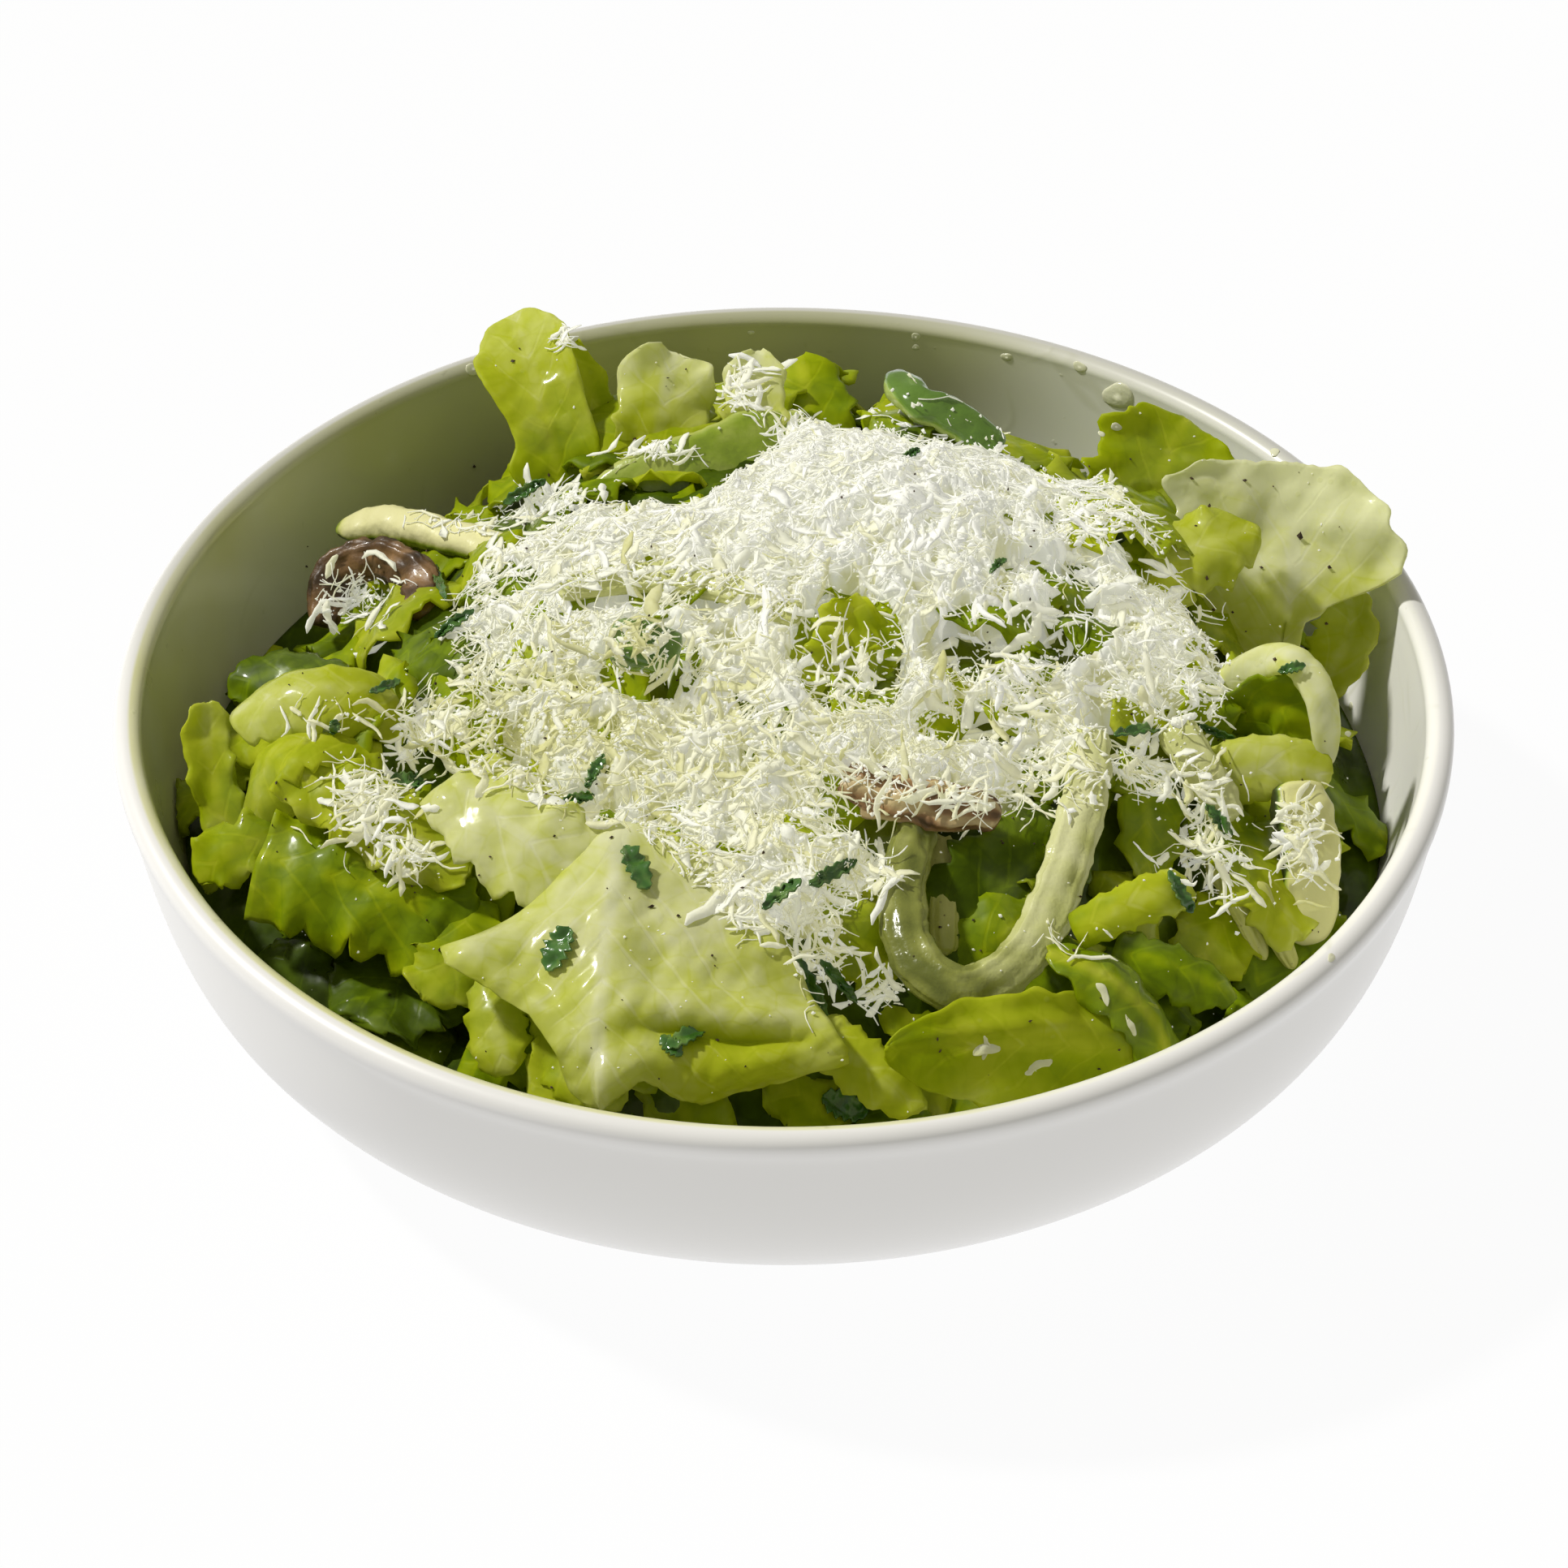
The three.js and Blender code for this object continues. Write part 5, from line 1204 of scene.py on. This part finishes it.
def insideOutline(pixels, outline):
    # how many times a line to the right of each pixel crosses the outline tells inside from out
    x, y = pixels[..., 0], pixels[..., 1]
    inside = np.zeros(x.shape, bool)
    for (x0, y0), (x1, y1) in zip(outline, outline[1:] + outline[:1]):
        crosses = (y0 > y) != (y1 > y)
        at = (x1 - x0) * (y - y0) / (y1 - y0 + 1e-9) + x0
        inside ^= crosses & (x < at)
    return inside


def seenEdge(turns=240, steps=90):
    # how far the cheese reaches each way before it leaves its outline in the photograph
    angles = np.arange(turns) * turn / turns
    shares = np.linspace(0.1, 1, steps)[:, None]
    reach = shares * cheeseEdge(angles)
    x = cheeseSize["centre"][0] + reach * np.cos(angles)
    y = cheeseSize["centre"][1] + reach * np.sin(angles)
    pixels = seenPixel(np.stack([x, y, heapTop(x, y) + 2 + 3 * (1 - shares)], -1))
    shown = insideOutline(pixels + np.array([0, 8]), cheeseOutline)
    shown |= (y > 30) & (x > 10)  # the far slope is hidden
    last = np.where(shown.all(0), steps - 1, np.argmin(shown, 0))
    edge = reach[last, np.arange(turns)]
    return angles, sum(np.roll(edge, k) for k in (-2, -1, 0, 1, 2)) / 5


edgeAngles, edgeReach = seenEdge()


def shownEdge(angle):
    return np.interp(angle % turn, edgeAngles, edgeReach, period=turn)


def cheeseShare(x, y):
    dx, dy = x - cheeseSize["centre"][0], y - cheeseSize["centre"][1]
    return np.hypot(dx, dy) / shownEdge(np.arctan2(dy, dx))


def bareShare(x, y):
    pixels = seenPixel(np.stack([x, y, heapTop(x, y) + 4], -1))
    share = np.zeros(x.shape)
    for at, reach, bare in bareSpots:
        away = (pixels - at) / reach
        share = np.maximum(share, bare * rise(1.5 - (away ** 2).sum(-1), 0, 0.9))
    share = np.where(y < 42, share, 0)
    return np.maximum(share, np.clip(hump(x, y, (31, 61), (17, 11), 1.4), 0, 1))  # the whole pod


def cheeseTop(x, y):
    share = cheeseShare(x, y)
    piles = sum(hump(x, y, *pile) for pile in cheeseSize["piles"])
    crown = cheeseSize["depth"] * np.clip(1 - share ** 2, 0, 1)
    top = heapTop(x, y) + crown + piles * np.clip(1.2 - share, 0, 1)
    return top - 1.2 + 2.4 * rise(1 - share, 0, 0.2) - cheeseSize["bareDepth"] * bareShare(x, y)


def makeCheeseBed():
    # the imported cheese under the loose shreds: matted clumps, with darker cream hollows between
    # them, partly dressing and partly painted shade
    def clumps(x, y):
        place = np.stack([x, y, np.zeros_like(x)], -1)
        fluff = wobble(place, 8.5, 41, 3) + 0.55 * np.abs(wobble(place, 2.6, 42, 2))
        return cheeseSize["clump"] * (fluff - 0.15)

    def top(x, y):
        return cheeseTop(x, y) + 0.2 + clumps(x, y)

    def bottom(x, y):
        return heapTop(x, y) - cheeseSize["sink"] - cheeseSize["bareDepth"] * bareShare(x, y)

    points, faces = moundMesh(cheeseSize["centre"], shownEdge, top, bottom, cheeseSize["cuts"])
    x, y = points[:, 0], points[:, 1]
    # painted shade: the bed is darker in its hollows, and darker at its edge where it thins
    tint = 0.30 + 0.6 * rise(clumps(x, y), -1.0, 0.9) - 0.5 * rise(cheeseShare(x, y), 0.9, 1.0)
    tint = tint + 0.25 * hump(x, y, (18, 26), (40, 26), 1)  # whiter on the pile, with painted light on its top
    # creamier at the front left: dressing, with painted leaf-tinted light
    tint = tint - 0.10 * hump(x, y, (-38, -28), (26, 20), 1)
    addCheese("cheeseBed", points, faces, tint)


def cheesePlaces(count, rng, spread=3.0):
    # plan places inside the cheese's outline, thinner over the bare spots and at the edge
    kept = []
    while sum(len(k) for k in kept) < count:
        angle = rng.uniform(0, turn, count)
        share = np.sqrt(rng.uniform(0, 1, count)) * 1.04
        x = cheeseSize["centre"][0] + share * shownEdge(angle) * np.cos(angle)
        y = cheeseSize["centre"][1] + share * shownEdge(angle) * np.sin(angle)
        nearX, nearY = x + rng.normal(0, spread, count), y + rng.normal(0, spread, count)
        keep = 1 - 0.92 * bareShare(nearX, nearY)
        keep = keep * rise(1.06 - share, 0, 0.1)
        kept.append(np.stack([x, y], -1)[rng.uniform(0, 1, count) < keep])
    return np.concatenate(kept)[:count]


def broadSlope(x, y, step=4.0):
    # the way that the cheese's broad surface looks
    east = (cheeseTop(x + step, y) - cheeseTop(x - step, y)) / (2 * step)
    north = (cheeseTop(x, y + step) - cheeseTop(x, y - step)) / (2 * step)
    return unit(np.stack([-east, -north, np.ones_like(x)], -1))


def restingPlaces(tree, plan):
    # plan places dropped onto what is under them, with the way that the surface looks there
    heights = dropHeights(tree, plan[:, 0], plan[:, 1])
    return np.concatenate([plan, heights[:, None]], 1), broadSlope(plan[:, 0], plan[:, 1])


def heightsOver(tree, points, away, above=3.0, below=3.0):
    # how high the surface is over or under each point, measured along the way it faces
    run = np.linspace(-1, 1, points.shape[1])
    heights = np.tile(-0.4 - 0.9 * np.abs(run), (len(points), 1))  # a free end droops
    for i, normal in enumerate(away):
        down = Vector(-normal)
        for k, point in enumerate(points[i]):
            hit = tree.ray_cast(Vector(point + normal * above), down, above + below)[3]
            if hit is not None:
                heights[i, k] = above - hit
    return heights


def ribbonSet(centres, away, lift, scale, size, rng, tree):
    # ribbons of cheese lying over what is under them, as rings of points for tubes
    count, stations = len(centres), size["stations"]
    length = rng.uniform(*size["length"], count) * rng.uniform(0.6, 1, count) * scale ** 0.5
    bend = rng.normal(0, 0.09, count)
    s = np.linspace(-0.5, 0.5, stations)[None] * length[:, None]
    way = bend[:, None] * s + 0.3 * np.sin(s * 0.9 + rng.uniform(0, turn, (count, 1)))
    step = length[:, None] / (stations - 1)
    ahead = unit(np.cross(away, rng.normal(size=(count, 3))))
    aside = np.cross(away, ahead)
    forth = np.cumsum(np.cos(way) * step, 1) - length[:, None] / 2
    sideways = np.cumsum(np.sin(way) * step, 1)
    sideways = sideways - sideways.mean(1, keepdims=True)
    points = (centres[:, None] + ahead[:, None] * forth[..., None]
              + aside[:, None] * sideways[..., None])
    ground = heightsOver(tree, points, away)
    # a shred is too stiff to follow every step: it lies over the high places
    smooth = ground
    for _ in range(2):
        wide = np.pad(smooth, ((0, 0), (1, 1)), mode="edge")
        average = (wide[:, :-2] + wide[:, 1:-1] + wide[:, 2:]) / 3
        smooth = np.maximum(average, np.minimum(ground, average + 0.3))
    t = s / length[:, None]
    curl = np.abs(rng.normal(0, 1, (count, 2))) * size["curl"]
    raised = 2 * curl[:, :1] * np.clip(t, 0, 1) ** 2 + 2 * curl[:, 1:] * np.clip(-t, 0, 1) ** 2
    wave = 0.2 * np.sin(t * 9 + rng.uniform(0, turn, (count, 1))) * rng.uniform(0, 1, (count, 1))
    height = smooth + 0.12 + lift[:, None] + raised + wave
    centre = points + away[:, None] * height[..., None]
    tangent = unit(np.gradient(centre, axis=1))
    level = unit(np.cross(tangent, away[:, None]))
    upward = np.cross(level, tangent)
    roll = rng.normal(0, 0.22, (count, 1)) + rng.normal(0, 0.6, (count, 1)) * t
    side, normal = turned(level, upward, roll)
    wide = (rng.uniform(*size["width"], count) * scale)[:, None] / 2
    wide = wide * (1 - 0.75 * np.abs(2 * t) ** 5) * (1 + 0.24 * rng.normal(0, 1, t.shape))
    wide = np.clip(wide, 0.09, 1.5)
    thick = size["thick"] / 2
    if size["sides"] == 4:
        corners = [(1, 0.35), (0.55, 1), (-1, 0.35), (-0.5, -1)]
    else:
        corners = [(1, -0.6), (0, 1), (-1, -0.6)]
    rings = [centre + side * (wide * a)[..., None] + normal * (thick * b) for a, b in corners]
    return np.stack(rings, 2)


def joinTubes(rings):
    # many tubes of one size as one mesh
    count, stations, sides = rings.shape[:3]
    walls, caps = tubeMesh(rings[0])[1]
    offset = (np.arange(count) * stations * sides)[:, None, None]
    return rings.reshape(-1, 3), [(walls[None] + offset).reshape(-1, 4),
                                  (caps[None] + offset).reshape(-1, 3)]


def makeShreds(name, centres, away, lift, scale, size, rng, tree):
    rings = ribbonSet(centres, away, lift, scale, size, rng, tree)
    points, faces = joinTubes(rings)
    each = rings.shape[1] * rings.shape[2]
    # shreds lower in the pile are warmer and darker, a painted shade, and so is the wetter front
    # left, with dressing and painted shade
    tint = rng.normal(0.80, 0.16, len(centres)) + 0.12 * (lift - lift.mean())
    tint = tint - 0.16 * rise(-centres[:, 1], 0, 34)
    for spot in cheeseSize["tints"]:
        tint = tint + hump(centres[:, 0], centres[:, 1], *spot)
    addCheese(name, points, faces, np.repeat(np.clip(tint, 0.3, 1.1), each))


def crumbMesh(centres, sizes, rng):
    # small broken bits, each an uneven eight-sided lump
    corners = np.array([(1, 0, 0), (0, 1, 0), (-1, 0, 0), (0, -1, 0), (0, 0, 1), (0, 0, -1)])
    faces = np.array([(0, 1, 4), (1, 2, 4), (2, 3, 4), (3, 0, 4), (1, 0, 5), (2, 1, 5),
                      (3, 2, 5), (0, 3, 5)])
    count = len(centres)
    shape = corners[None] * rng.uniform(0.5, 1.25, (count, 6, 1)) * sizes[:, None, None] / 2
    shape = shape * rng.uniform(0.5, 1.3, (count, 1, 3))
    angle = rng.uniform(0, turn, count)
    c, s = np.cos(angle)[:, None], np.sin(angle)[:, None]
    x, y = shape[..., 0] * c - shape[..., 1] * s, shape[..., 0] * s + shape[..., 1] * c
    shape = np.stack([x, y, shape[..., 2]], -1)
    points = (shape + centres[:, None]).reshape(-1, 3)
    offset = (np.arange(count) * 6)[:, None, None]
    return points, [(faces[None] + offset).reshape(-1, 3)]


# shreds that lie beyond the main cheese: pixel place, reach, how many and how deep they lie
strayCheese = [
    ((455, 985), (56, 46), 64, 1.2), ((400, 880), (60, 20), 8, 0.3),
    ((520, 900), (36, 46), 60, 1.2), ((500, 1060), (50, 26), 20, 0.5),
    ((440, 735), (50, 40), 44, 0.6), ((590, 645), (80, 12), 20, 0.3),
    ((690, 620), (60, 20), 50, 0.8), ((700, 418), (10, 10), 7, 0.4),
    ((915, 480), (28, 40), 26, 0.3), ((810, 556), (50, 12), 16, 0.3),
    ((975, 530), (20, 16), 14, 0.4), ((1430, 790), (56, 60), 70, 0.9),
    ((1490, 1050), (50, 76), 56, 0.8), ((1600, 1040), (36, 66), 36, 0.4),
    ((1420, 960), (80, 30), 50, 0.8), ((1130, 935), (90, 22), 40, 0.8),
    ((1200, 985), (60, 20), 16, 0.6), ((1250, 830), (90, 50), 40, 0.8),
    ((790, 800), (50, 40), 30, 0.7), ((1050, 830), (50, 50), 22, 0.5),
    ((1300, 960), (60, 50), 30, 0.6), ((1060, 1075), (40, 30), 30, 0.8),
    ((1010, 1180), (40, 50), 34, 0.8), ((1082, 1224), (30, 26), 12, 0.5),
    ((940, 1120), (50, 36), 60, 1.0), ((1300, 1150), (60, 30), 5, 0.3),
]


def strayPlaces(tree, rng):
    centres, away, lifts = [], [], []
    for at, reach, count, pile in strayCheese:
        pixels = rng.normal(0, 0.5, (count, 2)) * reach + at
        for (x, y), lift in zip(pixels, rng.uniform(0, pile, count)):
            hit, slope = seenPlace(tree, x, y)
            if hit is not None and np.hypot(hit[0], hit[1]) < cheeseSize["strayRadius"]:
                centres.append(hit)
                away.append(unit(slope + np.array([0, 0, 0.4])))
                lifts.append(lift)
    return np.array(centres), np.array(away), np.array(lifts)


def makeCheese():
    makeCheeseBed()
    tree = surfaceTree()
    rng = np.random.default_rng(11)
    for name in ("ribbons", "threads"):
        size = cheeseSize[name]
        centres, away = restingPlaces(tree, cheesePlaces(size["count"], rng))
        lift = rng.uniform(-0.25, size["pile"], len(centres))
        stray, strayAway, strayLift = strayPlaces(tree, rng)
        scale = np.concatenate([np.ones(len(centres)),
                                np.full(len(stray), cheeseSize["strayScale"])])
        makeShreds(name + "OfCheese", np.concatenate([centres, stray]),
                   np.concatenate([away, strayAway]), np.concatenate([lift, strayLift]), scale,
                   size, rng, tree)
    size = cheeseSize["crumbs"]
    centres, away = restingPlaces(tree, cheesePlaces(size["count"], rng))
    centres[:, 2] += rng.uniform(0, size["pile"], len(centres))
    stray, strayAway, strayLift = strayPlaces(tree, rng)
    loose = cheeseSize["strewn"]
    pixels = rng.uniform(*loose["frame"], (loose["count"], 2))
    strewn = [seenPlace(tree, x, y)[0] for x, y in pixels]
    strewn = np.array([at for at in strewn
                       if at is not None and np.hypot(at[0], at[1]) < loose["radius"]])
    stray = stray + strayAway * (0.2 + 0.5 * strayLift[:, None])
    centres = np.concatenate([centres, stray, strewn])
    sizes = rng.uniform(*size["size"], len(centres))
    sizes[-len(strewn):] *= loose["scale"]
    points, faces = crumbMesh(centres, sizes, rng)
    tint = np.repeat(rng.normal(0.88, 0.12, len(centres)), 6)
    addCheese("crumbsOfCheese", points, faces, tint)


makeCheese()
print("cheese made")


# herbs, pepper, drips and drops, each placed where the photograph shows it

herbLook = {
    "thick": 0.35,
    "cuts": (21, 11),
    "lift": 0.75,      # millimetres over what it lies on
    "near": 2.5,       # how near the surface has to be for a flake to bend to it
    "drape": 0.6,      # and by what share it does
    "steepest": 0.15,  # keeps a flake from running off along a grazing view
    # pixel place, length and width in pixels, and the heading from the right in degrees
    "flakes": [
        (783, 1072, 62, 30, -62), (690, 1172, 60, 34, 62), (845, 1282, 58, 22, 28),
        (826, 1292, 34, 22, -40), (1000, 1222, 96, 20, -66), (1030, 1210, 70, 14, -50),
        (1022, 1078, 66, 20, 28), (965, 1105, 60, 18, 35), (500, 968, 46, 22, -5),
        (712, 985, 40, 16, 10), (735, 955, 46, 14, 60), (1400, 905, 60, 14, 8),
        (410, 897, 18, 14, 80), (648, 606, 60, 16, 30), (1592, 826, 34, 14, 15),
        (542, 722, 44, 12, -70), (1040, 1362, 60, 40, -20), (1500, 1010, 50, 16, -50),
        (560, 770, 60, 14, 35), (470, 850, 40, 12, 20), (1450, 1100, 60, 16, -60),
        (1500, 905, 60, 10, -25), (1230, 700, 26, 10, 40), (1120, 560, 24, 10, 30),
    ],
}


def makeHerbs(tree):
    heap = Heap()
    rows, columns = herbLook["cuts"]
    for index, (px, py, length, width, heading) in enumerate(herbLook["flakes"]):
        rng = np.random.default_rng(500 + index)
        u, v = np.meshgrid(np.linspace(-1, 1, rows), np.linspace(-1, 1, columns), indexing="ij")
        outline = np.sqrt(np.clip(1 - np.abs(u) ** 2.2, 0.015, 1))
        notches = np.abs((u * 2.6 + rng.uniform(0, 1) + 0.5 * (v > 0)) % 1 - 0.5) * 2
        outline = outline * (0.62 + 0.5 * notches)
        a = math.radians(heading)
        x = px + math.cos(a) * u * length / 2 + math.sin(a) * v * outline * width / 2
        y = py - math.sin(a) * u * length / 2 + math.cos(a) * v * outline * width / 2
        middle = np.zeros((rows, columns, 3))
        centre, slope = seenPlace(tree, px, py)
        if centre is None:
            continue
        for at in np.ndindex(u.shape):
            # each point of the flake lies on the plane that its middle touches
            way = pixelRay(x[at], y[at])
            facing = min(way @ slope, -herbLook["steepest"])
            middle[at] = eye + way * ((centre - eye) @ slope) / facing
            hit = seenPlace(tree, x[at], y[at])[0]
            if hit is not None and np.linalg.norm(hit - middle[at]) < herbLook["near"]:
                middle[at] = blend(middle[at], hit, herbLook["drape"])
        fold = 0.5 * np.abs(v) ** 1.3 * (1 - u ** 2) + 0.35 * wobble(middle, 3.2, 510 + index, 2)
        middle = middle + slope * (herbLook["lift"] + fold)[..., None]
        points, faces = sheetMesh(middle, herbLook["thick"])
        tint = np.tile((0.45 + 0.3 * wobble(middle, 4, 530 + index, 2) + 0.2 * v ** 2).ravel(), 2)
        heap.add(points, faces, {"tint": tint})
    heap.finish("herbFlakes", herbFinish, "dressed_leaf")


pepperLook = {
    # pixel place and size in millimetres
    "grains": [(1601, 662, 1.7), (1554, 700, 1.0), (1637, 700, 1.2), (1486, 712, 1.1),
               (1467, 589, 1.2), (1490, 625, 1.0), (1495, 752, 0.7), (1518, 755, 0.7),
               (1568, 599, 0.6), (1600, 582, 0.5), (1650, 649, 0.6), (775, 1107, 0.6),
               (803, 1118, 1.2), (835, 1130, 1.1), (748, 1095, 0.5), (746, 1266, 0.6),
               (880, 1190, 0.6), (640, 430, 0.6), (845, 455, 0.7), (822, 466, 0.6),
               (340, 965, 1.0), (352, 985, 0.8), (1330, 1105, 0.7), (1323, 1172, 0.7),
               (1356, 1230, 0.7), (1447, 930, 0.6), (1500, 912, 0.6)],
    "strewn": 170,
    "strewnAcross": (330, 1680),  # pixels
    "strewnDown": (430, 1340),
    "strewnSize": (0.3, 0.9),
    "radius": 112,
    "lowest": 30,
    "lift": 0.25,
}


def makePepper(tree):
    rng = np.random.default_rng(71)
    grains = list(pepperLook["grains"])
    for _ in range(pepperLook["strewn"]):
        grains.append([rng.uniform(*pepperLook[key])
                       for key in ("strewnAcross", "strewnDown", "strewnSize")])
    centres, sizes = [], []
    for x, y, size in grains:
        hit, slope = seenPlace(tree, x, y)
        if hit is None or hit[2] <= pepperLook["lowest"]:
            continue
        if np.hypot(hit[0], hit[1]) < pepperLook["radius"]:
            centres.append(hit + slope * size * pepperLook["lift"])
            sizes.append(size)
    points, faces = crumbMesh(np.array(centres), np.array(sizes), rng)
    tint = rng.uniform(0, 0.8, len(points))
    addPiece("pepperGrains", points, faces, pepperFinish, ["salad_leaves"],
             {"tint": tint}, flat=True)


dripLook = {
    # pixel lines that a drip follows, with its widest half width in millimetres
    "lines": [([(1198, 1300), (1212, 1290), (1232, 1292)], 1.1),
              ([(1212, 1276), (1216, 1292), (1210, 1306)], 0.6),
              ([(1262, 1324), (1276, 1312), (1296, 1306)], 1.0),
              ([(1182, 1338), (1180, 1350), (1180, 1364)], 1.7),
              ([(1350, 1212), (1360, 1224), (1364, 1240)], 0.6),
              ([(1386, 1250), (1392, 1262), (1398, 1276)], 0.5)],
    "rise": 0.12,
    "lift": 0.15,
    "longest": 14,  # a longer step means that the line left what it lies on
}


def makeDrips(tree):
    heap = Heap()
    for index, (line, half) in enumerate(dripLook["lines"]):
        stops = []
        for x, y in line:
            hit, slope = seenPlace(tree, x, y)
            if hit is not None:
                stops.append(hit + slope * dripLook["lift"])
        if len(stops) < 2:
            continue
        if np.linalg.norm(np.diff(stops, axis=0), axis=1).max() > dripLook["longest"]:
            continue
        piece = dict(path=stops, width=half * 2, thick=dripLook["rise"] * 2, face=(0, -0.6, 0.8),
                     ends=(0.5, 0.8))
        points, faces = tubeMesh(barMesh(piece, 0.3, 3.5, 0.0, 900 + index, 0.5, 16)[0])
        heap.add(points, faces, {"tint": 0.5 + 0.3 * wobble(points, 4, 910 + index, 2)})
    heap.finish("dressingDrips", dressingFinish, "dressed_leaf")


dropLook = {
    # pixel place and radius in millimetres of the drops on the bowl's inner wall
    "drops": [(1378, 488, 2.8), (1240, 440, 0.9), (1330, 452, 1.1), (1375, 526, 0.8),
              (1357, 534, 0.6), (1128, 415, 0.8), (1128, 428, 0.6), (1325, 430, 0.8),
              (925, 410, 0.5), (583, 455, 1.3), (1570, 557, 0.9), (1664, 870, 0.7),
              (1660, 905, 0.6), (1640, 1180, 0.7)],
    "cuts": (10, 24),
    "rise": 0.2,
    "sunk": 0.3,
    "stretch": 1.25,
}


def makeDrops(tree):
    # flat domes of dressing that hold to the wall
    heap = Heap()
    rings, turns = dropLook["cuts"]
    for index, (x, y, radius) in enumerate(dropLook["drops"]):
        hit, slope = seenPlace(tree, x, y)
        if hit is None:
            continue
        side = unit(np.cross(slope, np.array([0.0, 0, 1])))
        down = np.cross(slope, side)
        tilt = np.linspace(0, math.pi, rings)
        angles = np.arange(turns) * turn / turns
        rim = 1 + 0.13 * np.sin(angles * 2 + index) + 0.07 * np.sin(angles * 3 + 2 * index)
        reach = np.sin(tilt)[:, None] * radius * rim
        lift = np.cos(tilt)[:, None] * radius * dropLook["rise"] + 0 * angles
        lift = np.where(lift < 0, lift * dropLook["sunk"], lift)
        shape = (hit + side * (reach * np.cos(angles) * dropLook["stretch"])[..., None]
                 + down * (reach * np.sin(angles))[..., None] + slope * lift[..., None])
        points, faces = tubeMesh(shape[::-1])
        heap.add(points, faces, {"tint": np.full(len(points), 0.9)})
    heap.finish("dressingDrops", dressingFinish, "glazed_white")


everything = surfaceTree()
makeHerbs(everything)
makePepper(everything)
makeDrips(everything)
makeDrops(everything)
print("small things made")


# the floor and the light

lightLook = {
    "sunWay": (-0.62, 0.26, 0.74),
    "sunStrength": 3.1,
    "sunColour": (1.0, 0.985, 0.95),
    "sunSpread": math.radians(5),
    "skyStrength": 0.34,
    "skyColour": (1.0, 0.98, 0.86),
    "frontStrength": 0.46,
    "frontPlace": (0.25, -0.9, 1.3),
    "frontSize": 1.2,
    "floorGlow": 0.95,
}


def makeStage():
    f = Finish("paleFloor")
    colour = f.mix(f.grain(900), (0.03, 0.03, 0.03), (0.045, 0.045, 0.045))
    surface = f.node("ShaderNodeBsdfPrincipled", {}, {
        "Base Color": colour, "Roughness": 0.9, "Specular IOR Level": 0.0,
        "Emission Color": (1, 1, 1, 1), "Emission Strength": lightLook["floorGlow"]})
    material = f.close(surface)
    mesh = bpy.data.meshes.new("floor")
    size, low = 6.0, -0.0005
    mesh.from_pydata([(-size, -size, low), (size, -size, low), (size, size, low),
                      (-size, size, low)], [], [(0, 1, 2, 3)])
    mesh.materials.append(material)
    show(bpy.data.objects.new("floor", mesh))


def makeLight():
    sun = bpy.data.lights.new("sun", "SUN")
    sun.energy, sun.angle = lightLook["sunStrength"], lightLook["sunSpread"]
    sun.color = lightLook["sunColour"]
    lamp = show(bpy.data.objects.new("sun", sun))
    lamp.rotation_euler = Vector(lightLook["sunWay"]).to_track_quat("Z", "Y").to_euler()
    area = bpy.data.lights.new("front", "AREA")
    area.energy, area.size = lightLook["frontStrength"], lightLook["frontSize"]
    panel = show(bpy.data.objects.new("front", area))
    panel.location = lightLook["frontPlace"]
    panel.rotation_euler = Vector(lightLook["frontPlace"]).to_track_quat("Z", "Y").to_euler()
    world = bpy.data.worlds.new("world")
    bpy.context.scene.world = world
    world.use_nodes = True
    background = world.node_tree.nodes["Background"]
    background.inputs["Color"].default_value = (*lightLook["skyColour"], 1)
    background.inputs["Strength"].default_value = lightLook["skyStrength"]
    bpy.context.scene.view_settings.view_transform = "Standard"


makeStage()
makeLight()
